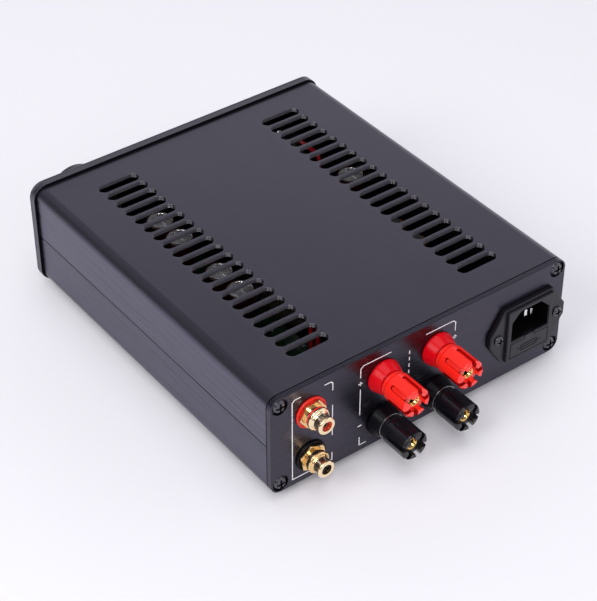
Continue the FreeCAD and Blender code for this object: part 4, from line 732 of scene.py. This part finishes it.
washer_mesh = turned([(4.0, -3), (4.8, -3), (4.8, 0), (9.0, 0), (9.0, 0.84), (8.7, 1.2), (8.1, 1.2),
                      (7.9, 0.85), (7.0, 0.85), (6.9, 1.2), (4.0, 1.2)], 0.15, 72)
colour_ring = turned([(5.42, 4.95), (6.25, 4.95), (6.25, 5.7), (5.42, 5.7)], 0.08, 72)
barrel_mesh = turned([(2.9, -15), (3.9, -15), (3.9, 2.8), (5.9, 2.8), (5.9, 4.95), (5.37, 4.95), (5.37, 5.7),
                      (6.35, 5.7), (6.35, 6.9), (5.85, 7.4), (5.3, 7.4), (5.15, 7.9), (4.6, 8.4), (4.6, 11.9),
                      (4.9, 12.2), (4.9, 12.92), (4.47, 13.4), (2.9, 13.4)], 0.2, 72)
insulator_mesh = turned([(2.15, -15), (2.85, -15), (2.85, 12.4), (1.8, 12.4), (1.8, 11.4), (2.15, 11.4)],
                        0.1, 40)
contact_mesh = turned([(0, -20), (2.1, -20), (2.1, 11.4), (1.65, 11.4), (1.65, -2), (0, -2)], 0.1, 40)
hexagon = hexagon_mesh(14.2, 1.2, 2.8, 0.55)
socket_gold = brushed("socket_gold", (0.86, 0.60, 0.29), 0.15, (900, 60, 900), strength=0.1, clouds=0.1,
                      bump=0.004)
pale_gold = brushed("pale_gold_plating", (0.96, 0.77, 0.50), 0.12, (900, 60, 900), strength=0.06, clouds=0.04,
                    bump=0.002)
deep_red = plastic("deep_red_plastic", (0.48, 0.012, 0.004), 0.3)
washer_red = plastic("orange_red_plastic", (0.72, 0.014, 0.006), 0.3, mottle=0.04)
for channel, washer_plastic, ring_plastic, insulator_plastic, turn, golden_length in (
        ("right", washer_red, red_cap, deep_red, 5, 2.9),
        ("left", black_collar, black_cap, black_collar, -20, 8.6)):
    x, z = INPUT_PLACES[channel]
    spot = (x, REAR_FACE, z)
    finish_piece(f"{channel}_socket_washer", moved(washer_mesh, spot), washer_plastic, "amplifier",
                 f"{channel}_input_washer")
    finish_piece(f"{channel}_socket_ring", moved(colour_ring, spot), ring_plastic, "amplifier",
                 f"{channel}_input_ring")
    body_mesh = moved(together([around_y(hexagon, turn), barrel_mesh]), spot)
    finish_piece(f"{channel}_socket_body", body_mesh, pale_gold, "amplifier", f"{channel}_input_socket")
    body_mesh.materials.append(socket_gold)
    for face in body_mesh.polygons:
        face.material_index = int(face.center.y / MM < REAR_FACE + golden_length)
    finish_piece(f"{channel}_socket_insulator", moved(insulator_mesh, spot), insulator_plastic, "amplifier",
                 f"{channel}_input_sleeve")
finish_piece("socket_contacts", spread(contact_mesh, [(x, REAR_FACE, z) for x, z in INPUT_PLACES.values()]),
             pale_gold, "amplifier", "input_contacts")


# The mains inlet is one black moulding with pointed ears, a raised block and a socket with two
# cut corners. Its pins are nickel-plated, and the fuse drawer below slides out by its tab.
INLET_FACE = REAR_FACE + 4.4
DRAWER_MIDDLE = INLET_PLACE[1] - 10.3
DRAWER_SEAM = 0.25
SIGN_MIDDLE = DRAWER_MIDDLE - 0.6


def merged_copy(node):
    """A CAD node's mesh with its triangles joined again into whole faces."""
    mesh = bmesh.new()
    mesh.from_mesh(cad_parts[node].data)
    bmesh.ops.remove_doubles(mesh, verts=mesh.verts, dist=0.002 * MM)
    bmesh.ops.dissolve_limit(mesh, angle_limit=math.radians(1), verts=mesh.verts, edges=mesh.edges)
    return plain_mesh(node, mesh)


moulded_black = plastic("moulded_black", (0.007, 0.0062, 0.0095), 0.31, mottle=0.12, speckle=2500,
                        gloss_level=0.36)
# A blacker plastic for the hollow of the socket: painted shade in the cavity.
inlet_cavity_painted_shade = plastic("black_plastic_painted_cavity_shade", (0.001, 0.001, 0.0015), 0.6, mottle=0.1, gloss_level=0.1)
inlet_mesh = carved(merged_copy("inlet_housing"), [], 0.25, 2)
finish_piece("inlet_moulding", inlet_mesh, moulded_black, "amplifier", "inlet_housing")
inlet_mesh.materials.append(inlet_cavity_painted_shade)
# The faces inside the socket's hollow get the painted shade.
for face in inlet_mesh.polygons:
    across, along, up = face.center / MM - Vector((INLET_PLACE[0], INLET_FACE, INLET_PLACE[1] + 5.3))
    if abs(across) < 13 and -17.5 < along < -2 and abs(up) < 9.2:
        face.material_index = 1

drawer_mesh = merged_copy("fuse_drawer")
for vertex in drawer_mesh.vertices:
    if vertex.co.y > (INLET_FACE - 2.2) * MM:
        vertex.co.x -= math.copysign(DRAWER_SEAM * MM, vertex.co.x - INLET_PLACE[0] * MM)
        vertex.co.z -= math.copysign(DRAWER_SEAM * MM, vertex.co.z - DRAWER_MIDDLE * MM)
sign_cutters = [box_mesh((INLET_PLACE[0] + left, INLET_FACE - 0.45, SIGN_MIDDLE + low),
                         (INLET_PLACE[0] + right, INLET_FACE + 1, SIGN_MIDDLE + high))
                for left, low, right, high in (
                    (-5.6, 1.4, 5.6, 1.9), (-5.6, -1.9, 5.6, -1.4), (-5.6, -1.4, -5.1, 1.4),
                    (5.1, -1.4, 5.6, 1.4), (-8.2, -0.25, 8.2, 0.25))]
finish_piece("drawer_moulding", carved(drawer_mesh, sign_cutters, 0.1, 2), moulded_black, "fuse_drawer",
             "fuse_drawer")
nickel = brushed("nickel_plating", (0.74, 0.73, 0.72), 0.22, (300, 40, 300), strength=0.25)
finish_piece("inlet_blades", carved(merged_copy("inlet_pins"), [], 0.35, 3), nickel, "amplifier",
             "inlet_pins")
ear_screw = cross_screw(head=3.0, dome=2.0, height=1.8, shank=1.5, length=6, cross=4.1, slot=1.15, depth=1.4)
ear_places = [(INLET_PLACE[0] + hand * 20.25, REAR_FACE + 2.6, INLET_PLACE[1]) for hand in (-1, 1)]
finish_screws("inlet_ear_screws", spread(ear_screw, ear_places), "inlet_screws")


# A cartridge fuse lies in the drawer's tray: a glass tube with a thin wire and a pressed nickel
# cap on each end. It comes out with the drawer.
def stood(made, axis):
    """A copy of a mesh turned about Y, laid along X or stood along Z instead."""
    copy = made.copy()
    for vertex in copy.vertices:
        x, y, z = vertex.co
        vertex.co = (y, -x, z) if axis == "X" else (x, -z, y)
    return copy


def box_of(node):
    """The middle and the lowest corner of a CAD node, and its height."""
    low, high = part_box(node)
    return (low + high) / 2 / MM, low / MM, (high.z - low.z) / MM


fuse_middle, *_ = box_of("fuse")
fuse_cap = turned([(0, 4.6), (2.35, 4.6), (2.6, 4.8), (2.6, 9.8), (0, 9.8)], 0.35, 40)
fuse_wire = turned([(0, -4.8), (0.14, -4.8), (0.14, 4.8), (0, 4.8)], 0, 8)
fuse_metal = stood(together([fuse_cap, moved(fuse_cap, (0, 0, 0), True), fuse_wire]), "X")
finish_piece("fuse_caps", moved(fuse_metal, fuse_middle), nickel, "fuse_drawer", "fuse")
tube_glass, _, glass_shader = new_material("fuse_glass", (0.95, 0.97, 0.96), 0, 0.04)
set_inputs(glass_shader, {"Transmission Weight": 1, "IOR": 1.5})
fuse_tube = turned([(1.8, -5.2), (2.3, -5.2), (2.3, 5.2), (1.8, 5.2)], 0.1, 40)
glass_piece = finish_piece("fuse_tube", moved(stood(fuse_tube, "X"), fuse_middle), tube_glass, "fuse_drawer")


# Behind the plate each socket and post is clamped by a nut on a washer: fibre under the sockets,
# black nylon under the posts.
def dressed(name, node, material, body, bevel=0.15):
    """A CAD node's shape with eased edges and a better finish."""
    return finish_piece(name, carved(merged_copy(node), [], bevel, 2), material, body, node)


fibre = plastic("red_fibre", (0.16, 0.03, 0.02), 0.7, mottle=0.5, speckle=3000)
brass = brushed("nickel_plated_brass", (0.66, 0.60, 0.48), 0.3, (400, 400, 400), strength=0.3)
dressed("socket_fibre_washers", "input_inner_washers", fibre, "amplifier", 0.1)
dressed("socket_nuts", "input_nuts", brass, "amplifier")
dressed("post_nylon_washers", "post_inner_washers", black_cap, "amplifier", 0.1)
dressed("post_back_nuts", "post_nuts", brass, "amplifier")


# The two circuit boards are green glass laminate: copper areas show through the lacquer as paler
# green, with bare tinned pads. They snap onto grey nylon pillars that stand on the case's floor.
def board_material():
    """Dark green lacquer over copper areas, with rows of tinned pads."""
    made, tree, shader = new_material("green_board", (0.004, 0.03, 0.01), 0, 0.3)
    place = result(tree, "ShaderNodeTexCoord", {}, "Object")
    areas = result(tree, "ShaderNodeTexVoronoi", {"Vector": place, "Scale": 110, "Randomness": 0.75},
                   "Distance", voronoi_dimensions="2D", feature="DISTANCE_TO_EDGE")
    copper_area = math_node(tree, "GREATER_THAN", areas, 0.07)
    pads = add_node(tree, "ShaderNodeTexVoronoi", {"Vector": place, "Scale": 200, "Randomness": 0.35},
                    voronoi_dimensions="2D").outputs
    pad = math_node(tree, "MULTIPLY", math_node(tree, "LESS_THAN", pads["Distance"], 0.2),
                    math_node(tree, "GREATER_THAN", pads["Color"], 0.62))
    lacquer = result(tree, "ShaderNodeMix", {"Factor": copper_area, "A": (0.001, 0.007, 0.003, 1),
                                             "B": (0.003, 0.017, 0.007, 1)}, "Result", data_type="RGBA")
    surface = result(tree, "ShaderNodeMix", {"Factor": pad, "A": lacquer, "B": (0.70, 0.70, 0.72, 1)},
                     "Result", data_type="RGBA")
    relief = result(tree, "ShaderNodeBump", {"Strength": 0.4, "Distance": 0.04 * MM,
                                             "Height": math_node(tree, "ADD", copper_area, pad)})
    set_inputs(shader, {"Coat Weight": 0.3, "Base Color": surface, "Metallic": pad, "Normal": relief})
    return made


green_board = board_material()
dressed("amplifier_board_lacquered", "amplifier_board", green_board, "amplifier", 0.08)
dressed("supply_board_lacquered", "supply_board", green_board, "amplifier", 0.08)
grey_nylon = plastic("grey_nylon", (0.10, 0.10, 0.105), 0.45, mottle=0.1)
dressed("snap_pillars", "board_pillars", grey_nylon, "amplifier", 0.2)


# The reservoir capacitors: drawn aluminium cans, scored across the top so that they can vent, in
# a dark red shrunk sleeve that grips a groove near the board and folds over the top edge.
_, can_low, can_height = box_of("reservoir_capacitors")
can_places = [(x, y, can_low.z) for x, y in
              ((44.7, -61.5), (44.7, -42.5), (44.7, -5), (44.7, 14), (-65.3, -33.6))]
sleeve_mesh = turned([(7.5, 0.2), (7.85, 0.2), (8, 0.5), (8, 2.1), (7.85, 2.5), (7.62, 2.9), (7.85, 3.3),
                      (8, 3.7), (8, can_height - 0.8), (7.9, can_height - 0.35), (7.6, can_height - 0.08),
                      (7.2, can_height), (6.95, can_height - 0.05), (6.9, can_height - 0.3),
                      (7.5, can_height - 0.9)], 0, 56)
can_blank = turned([(0, 0), (7.2, 0), (7.45, 0.4), (7.45, can_height - 0.9), (7.1, can_height - 0.35),
                    (6.5, can_height - 0.2), (6.2, can_height - 0.45), (0, can_height - 0.5)], 0, 56)
scores = [box_mesh((-across, can_height - 0.75, -up), (across, can_height, up))
          for across, up in ((5.4, 0.22), (0.22, 5.4))]
can_mesh = carved(can_blank, scores, 0.05, 1)
bare_can = brushed("bare_can", (0.80, 0.79, 0.82), 0.17, (220, 330, 60), strength=1.4, clouds=0.95,
                   metallic=0.85, bump=1.8)
dark_sleeve = plastic("dark_red_sleeve", (0.011, 0.0008, 0.0014), 0.30, mottle=0.15, speckle=500,
                      gloss_level=0.25)
finish_piece("reservoir_cans", spread(stood(can_mesh, "Z"), can_places), bare_can, "amplifier",
             "reservoir_capacitors")
sleeves = finish_piece("reservoir_sleeves", spread(stood(sleeve_mesh, "Z"), can_places), dark_sleeve,
                       "amplifier")


# The transformer: a ring core wound all round and wrapped in overlapping dark varnished tape. A
# dished steel disc and one bolt through its middle hold it down.
TAPE_COLOUR = (0.05, 0.042, 0.032)
TAPE_TURNS = 44


def taped_material(middle):
    """Overlapping turns of tape round a ring about a middle."""
    made, tree, shader = new_material("wound_tape", TAPE_COLOUR, 0, 0.32)
    place = result(tree, "ShaderNodeTexCoord", {}, "Object")
    centred = result(tree, "ShaderNodeMapping", {
        "Vector": place, "Location": (-middle.x * MM, -middle.y * MM, 0)})
    across, along, up = add_node(tree, "ShaderNodeSeparateXYZ", {0: centred}).outputs
    angle = math_node(tree, "ARCTAN2", along, across)
    slant = math_node(tree, "ADD", math_node(tree, "MULTIPLY", angle, TAPE_TURNS / (2 * math.pi)),
                      math_node(tree, "MULTIPLY", up, 12))
    turn = math_node(tree, "FRACT", slant, 0)
    edge = math_node(tree, "LESS_THAN", turn, 0.08)
    shade = math_node(tree, "ADD", math_node(tree, "MULTIPLY", turn, 0.25), 0.8)
    shade = math_node(tree, "SUBTRACT", shade, math_node(tree, "MULTIPLY", edge, 0.3))
    tint = result(tree, "ShaderNodeVectorMath", {0: TAPE_COLOUR, "Scale": shade}, operation="SCALE")
    relief = result(tree, "ShaderNodeBump", {"Strength": 0.6, "Distance": 0.3 * MM, "Height": turn})
    set_inputs(shader, {"Coat Weight": 0.4, "Base Color": tint, "Normal": relief})
    return made


core_middle, core_low, core_height = box_of("transformer")
ring_section = []
for across, up, reach, start in ((26, core_height - 7, 7, 0), (15, core_height - 5, 5, 90), (15, 5, 5, 180),
                                 (26, 7, 7, 270)):
    for step in range(7):
        turn = math.radians(start + 15 * step)
        ring_section.append((across + reach * math.cos(turn), up + reach * math.sin(turn)))
wound_ring = stood(turned(ring_section, 0, 132), "Z")
finish_piece("wound_transformer", moved(wound_ring, (core_middle.x, core_middle.y, core_low.z)),
             taped_material(core_middle), "amplifier", "transformer")
zinc = brushed("zinc_plated_steel", (0.56, 0.56, 0.55), 0.34, (250, 250, 250), strength=0.4, clouds=0.2)
dressed("transformer_bolt_and_disc", "transformer_bolt", zinc, "amplifier", 0.3)


# The heatsink is an extruded comb, anodised black, that stands on the amplifier board. The output
# devices are black mouldings clamped against its inner side, on three tinned legs each.
black_anodised = brushed("black_anodised_sink", (0.02, 0.02, 0.022), 0.45, (900, 30, 900), strength=0.5)
dressed("extruded_heatsink", "heatsink", black_anodised, "amplifier", 0.2)
devices = dressed("output_device_mouldings", "output_devices", moulded_black, "amplifier", 0.12)
tinned = brushed("tinned_leg", (0.70, 0.70, 0.69), 0.3, (500, 500, 60), strength=0.2)
devices.data.materials.append(tinned)
for face in devices.data.polygons:
    face.material_index = int(face.center.z / MM < 20)


# The filter coils: two layers of enamelled copper wire on a grey ferrite rod, whose end stands
# out of the winding.
def winding_tree():
    """Geometry Nodes: wire wound in a helix from its foot upwards."""
    tree, given = sized_tree(
        "Winding", {"Winding Radius": 5.4, "Winding Height": 20.8, "Wire Radius": 0.55}, {"Turns": 19})
    helix = result(tree, "GeometryNodeCurveSpiral", {
        "Resolution": 28, "Rotations": given["Turns"], "Start Radius": given["Winding Radius"],
        "End Radius": given["Winding Radius"], "Height": given["Winding Height"]})
    section = result(tree, "GeometryNodeCurvePrimitiveCircle", {
        "Resolution": 8, "Radius": given["Wire Radius"]})
    wire = result(tree, "GeometryNodeCurveToMesh", {
        "Curve": helix, "Profile Curve": section, "Fill Caps": True})
    whole = result(tree, "GeometryNodeRealizeInstances", {0: wire})
    coated = result(tree, "GeometryNodeSetMaterial", {"Geometry": whole, "Material": enamelled})
    add_node(tree, "NodeGroupOutput", {0: coated})
    return tree


enamelled = brushed("enamelled_copper", (0.80, 0.33, 0.13), 0.24, (700, 700, 700), strength=0.2)
ferrite = plastic("grey_ferrite", (0.045, 0.045, 0.05), 0.55, mottle=0.4, speckle=2500)
winding_nodes = winding_tree()
layers = [evaluated_mesh(bpy.data.meshes.new("start"), winding_nodes, {"Winding Radius": radius * MM})
          for radius in (5.4, 4.35)]
coil_core = stood(turned([(0, 0), (3.2, 0), (3.2, 23.6), (0, 23.6)], 0.5, 40), "Z")
coil_places = [Vector((-68, along, box_of("filter_coils")[1].z)) for along in (3, 22)]
finish_piece("copper_windings", together([moved(layer, spot + Vector((0, 0, 0.6)))
                                          for spot in coil_places for layer in layers]),
             enamelled, "amplifier", "filter_coils", sharp=60)
rods = finish_piece("coil_rods", spread(coil_core, coil_places), ferrite, "amplifier")


# Insulated leads run from the back of each socket, post, inlet pin and switch down to the boards,
# coloured by what they carry.
LEAD_COLOURS = {"red": (0.30, 0.003, 0.010), "black": (0.02, 0.02, 0.022), "white": (0.7, 0.7, 0.68),
                "yellow": (0.75, 0.48, 0.03)}


def lead_colour(across, top):
    """The colour of a lead with this middle and highest point."""
    if across > 50:
        return "white" if top > 30 else "yellow"
    if across > -20:
        return "red" if top > 30 else "black"
    return "red" if across < -72 else "black"


lead_mesh = merged_copy("internal_leads")
finish_piece("coloured_leads", lead_mesh, None, "amplifier", "internal_leads", sharp=50)
for label, color in LEAD_COLOURS.items():
    lead_mesh.materials.append(plastic(f"{label}_lead", color, 0.4, mottle=0.1))
wires = bmesh.new()
wires.from_mesh(lead_mesh)
waiting = set(wires.faces)
while waiting:
    reached = [waiting.pop()]
    for face in reached:
        for near in (other for edge in face.edges for other in edge.link_faces):
            if near in waiting:
                waiting.discard(near)
                reached.append(near)
    points = [vert.co / MM for face in reached for vert in face.verts]
    colour = lead_colour(sum(point.x for point in points) / len(points), max(point.z for point in points))
    for face in reached:
        face.material_index = list(LEAD_COLOURS).index(colour)
wires.to_mesh(lead_mesh)
wires.free()


# The volume control behind the front plate: a plated box with a threaded bush and nut, and a shaft
# that carries the knob.
dressed("potentiometer_box", "potentiometer", zinc, "amplifier", 0.2)
dressed("potentiometer_ring_nut", "potentiometer_nut", nickel, "amplifier", 0.25)
dressed("turned_shaft", "potentiometer_shaft", nickel, "volume_knob", 0.3)


# The knob is turned from aluminium and anodised to match the plate, with a fine chamfered edge,
# a milled pointer line and a hollow back. A headless screw clamps it from below.
KNOB_END = -24.5
knob_blank = turned([(0, KNOB_END), (14.5, KNOB_END), (15.5, KNOB_END + 1), (15.5, -1), (12.5, -1),
                     (12.5, -10), (3.05, -10), (3.05, -18.5), (0, -18.5)], 0.2, 144)
pointer = box_mesh((-0.7, KNOB_END - 1.5, 5.1), (0.7, KNOB_END + 0.5, 13.1))
screw_bore = stood(turned([(0, -16), (1.55, -16), (1.55, -2), (0, -2)], 0, 32), "Z")
knob_mesh = carved(knob_blank, [pointer, moved(screw_bore, (0, -14.25, 0))], 0.08, 2)
knob_finish = brushed("turned_dark_aluminium", (0.095, 0.092, 0.108), 0.34, (2600, 24, 2600), strength=0.45)
finish_piece("turned_knob", moved(knob_mesh, (KNOB_PLACE[0], FRONT_FACE, KNOB_PLACE[1])), knob_finish,
             "volume_knob", "volume_knob")
dressed("grub_screw", "knob_set_screw", black_steel, "volume_knob", 0.1)


# The power switch: a push button in a polished threaded barrel with a flange, its contact box
# behind the plate, and a small clear light beside it.
SWITCH_BOX_FRONT = -97.9
switch = dressed("switch_barrel", "power_switch", nickel, "amplifier", 0.2)
switch.data.materials.append(moulded_black)
for face in switch.data.polygons:
    across, along, up = face.center / MM - Vector((SWITCH_PLACE[0], SWITCH_BOX_FRONT, SWITCH_PLACE[1]))
    face.material_index = int(along > 0 and max(abs(across), abs(up)) > 5)
dressed("switch_ring_nut", "power_switch_nut", nickel, "amplifier", 0.25)
button_mesh = turned([(0, -3.5), (2.6, -3.6), (4.0, -3.8), (4.5, -3.3), (4.5, 6), (0, 6)], 0.3, 64)
steel_button = brushed("turned_button", (0.58, 0.58, 0.60), 0.26, (900, 900, 900), strength=0.3)
finish_piece("push_button", moved(button_mesh, (SWITCH_PLACE[0], FRONT_FACE, SWITCH_PLACE[1])), steel_button,
             "power_button", "power_button")
light_mesh = turned([(0, -0.9), (0.8, -0.75), (1.35, -0.35), (1.5, 0), (1.5, 5), (2, 5), (2, 9), (0, 9)],
                    0.25, 40)
light_plastic = plastic("clear_light", (0.62, 0.70, 0.80), 0.12, coat=0.4, mottle=0.04)
finish_piece("front_light", moved(light_mesh, (LIGHT_PLACE[0], FRONT_FACE, LIGHT_PLACE[1])), light_plastic,
             "amplifier", "power_light")


# Four feet of black rubber are stuck under the case. Each is moulded with a rounded lower edge and
# a shallow hollow underneath.
foot_mesh = turned([(0, 0.5), (4.0, 0.5), (4.5, 0), (6.8, 0), (8, 5), (0, 5)], 0.7, 64, corner_steps=4)
rubber = plastic("black_rubber", (0.016, 0.016, 0.017), 0.75, mottle=0.3, speckle=3500)
feet = spread(stood(foot_mesh, "Z"), [(x, y, 0) for x in (-75, 75) for y in (86.3, -86.7)])
finish_piece("round_feet", feet, rubber, "amplifier", "rubber_feet")


# The studio: a pale floor that runs out to white, soft lamps, and the camera of the photograph.
# The sky is bright near the horizon, and dark above and on the side that the case's edge mirrors.
floor_mesh = bpy.data.meshes.new("floor")
floor_mesh.from_pydata([(-6, -6, 0), (6, -6, 0), (6, 6, 0), (-6, 6, 0)], [], [(0, 1, 2, 3)])
floor = new_object("floor", floor_mesh)
floor_finish, floor_tree, floor_shader = new_material("pale_floor", (0.80, 0.79, 0.83), 0, 0.9)
set_inputs(floor_shader, {"Specular IOR Level": 0.2})
floor_glow = result(floor_tree, "ShaderNodeEmission", {"Color": (0.905, 0.90, 0.945, 1)})
rays = add_node(floor_tree, "ShaderNodeLightPath", {}).outputs
floor_seen = math_node(floor_tree, "MAXIMUM", rays["Is Camera Ray"], rays["Is Glossy Ray"])
floor_seen = math_node(floor_tree, "MAXIMUM", floor_seen, rays["Is Transmission Ray"])
floor_share = math_node(floor_tree, "MULTIPLY", floor_seen, 0.05)
floor_mix = result(floor_tree, "ShaderNodeMixShader", {
    "Fac": floor_share, 1: floor_shader.outputs[0], 2: floor_glow})
set_inputs(floor_tree.nodes["Material Output"], {"Surface": floor_mix})
floor_mesh.materials.append(floor_finish)

world = bpy.data.worlds.new("studio")
bpy.context.scene.world = world
world.use_nodes = True
sky_tree = world.node_tree
sky_place = result(sky_tree, "ShaderNodeTexCoord", {}, "Generated")
sky_x, _, sky_z = add_node(sky_tree, "ShaderNodeSeparateXYZ", {0: sky_place}).outputs
sky_height, sky_side = (
    result(sky_tree, "ShaderNodeMapRange", {"Value": value, "From Min": low, "From Max": high},
           interpolation_type="SMOOTHSTEP")
    for value, low, high in ((sky_z, 0.50, 0.70), (sky_x, 0.05, 0.45)))
sky_color = result(sky_tree, "ShaderNodeMix", {
    "Factor": math_node(sky_tree, "MAXIMUM", sky_height, sky_side), "A": (1.08, 1.08, 1.14, 1),
    "B": (0.26, 0.26, 0.28, 1)}, "Result", data_type="RGBA")
set_inputs(sky_tree.nodes["Background"], {"Color": sky_color})


def turn_towards(holder, place, aim):
    """Put a lamp or the camera at a place, turned towards a point, both in metres."""
    holder.location = place
    holder.rotation_euler = (Vector(aim) - Vector(place)).to_track_quat("-Z", "Y").to_euler()


for lamp_name, place, width, height, power in (("key", (2.2, 0.35, 1.8), 1.5, 1.5, 34),
                                               ("top", (0.1, 0.1, 2.9), 2.0, 2.0, 28),
                                               ("fill", (1.4, 1.95, 2.45), 0.35, 1.6, 37)):
    lamp = bpy.data.lights.new(lamp_name, "AREA")
    lamp.shape = "RECTANGLE"
    lamp.size = width
    lamp.size_y = height
    lamp.energy = power
    turn_towards(new_object(lamp_name, lamp), place, (0, 0, 0.03))

camera_data = bpy.data.cameras.new("camera")
camera_data.sensor_fit = "HORIZONTAL"
camera_data.sensor_width = 36
camera_data.lens = 113.287
camera = new_object("camera", camera_data)
turn_towards(camera, (0.4782, 0.6464, 0.6575), (0.006751, 0.013592, 0.024577))
camera.rotation_euler.rotate_axis("Z", -0.002)
bpy.context.scene.camera = camera
bpy.context.scene.view_settings.view_transform = "Standard"
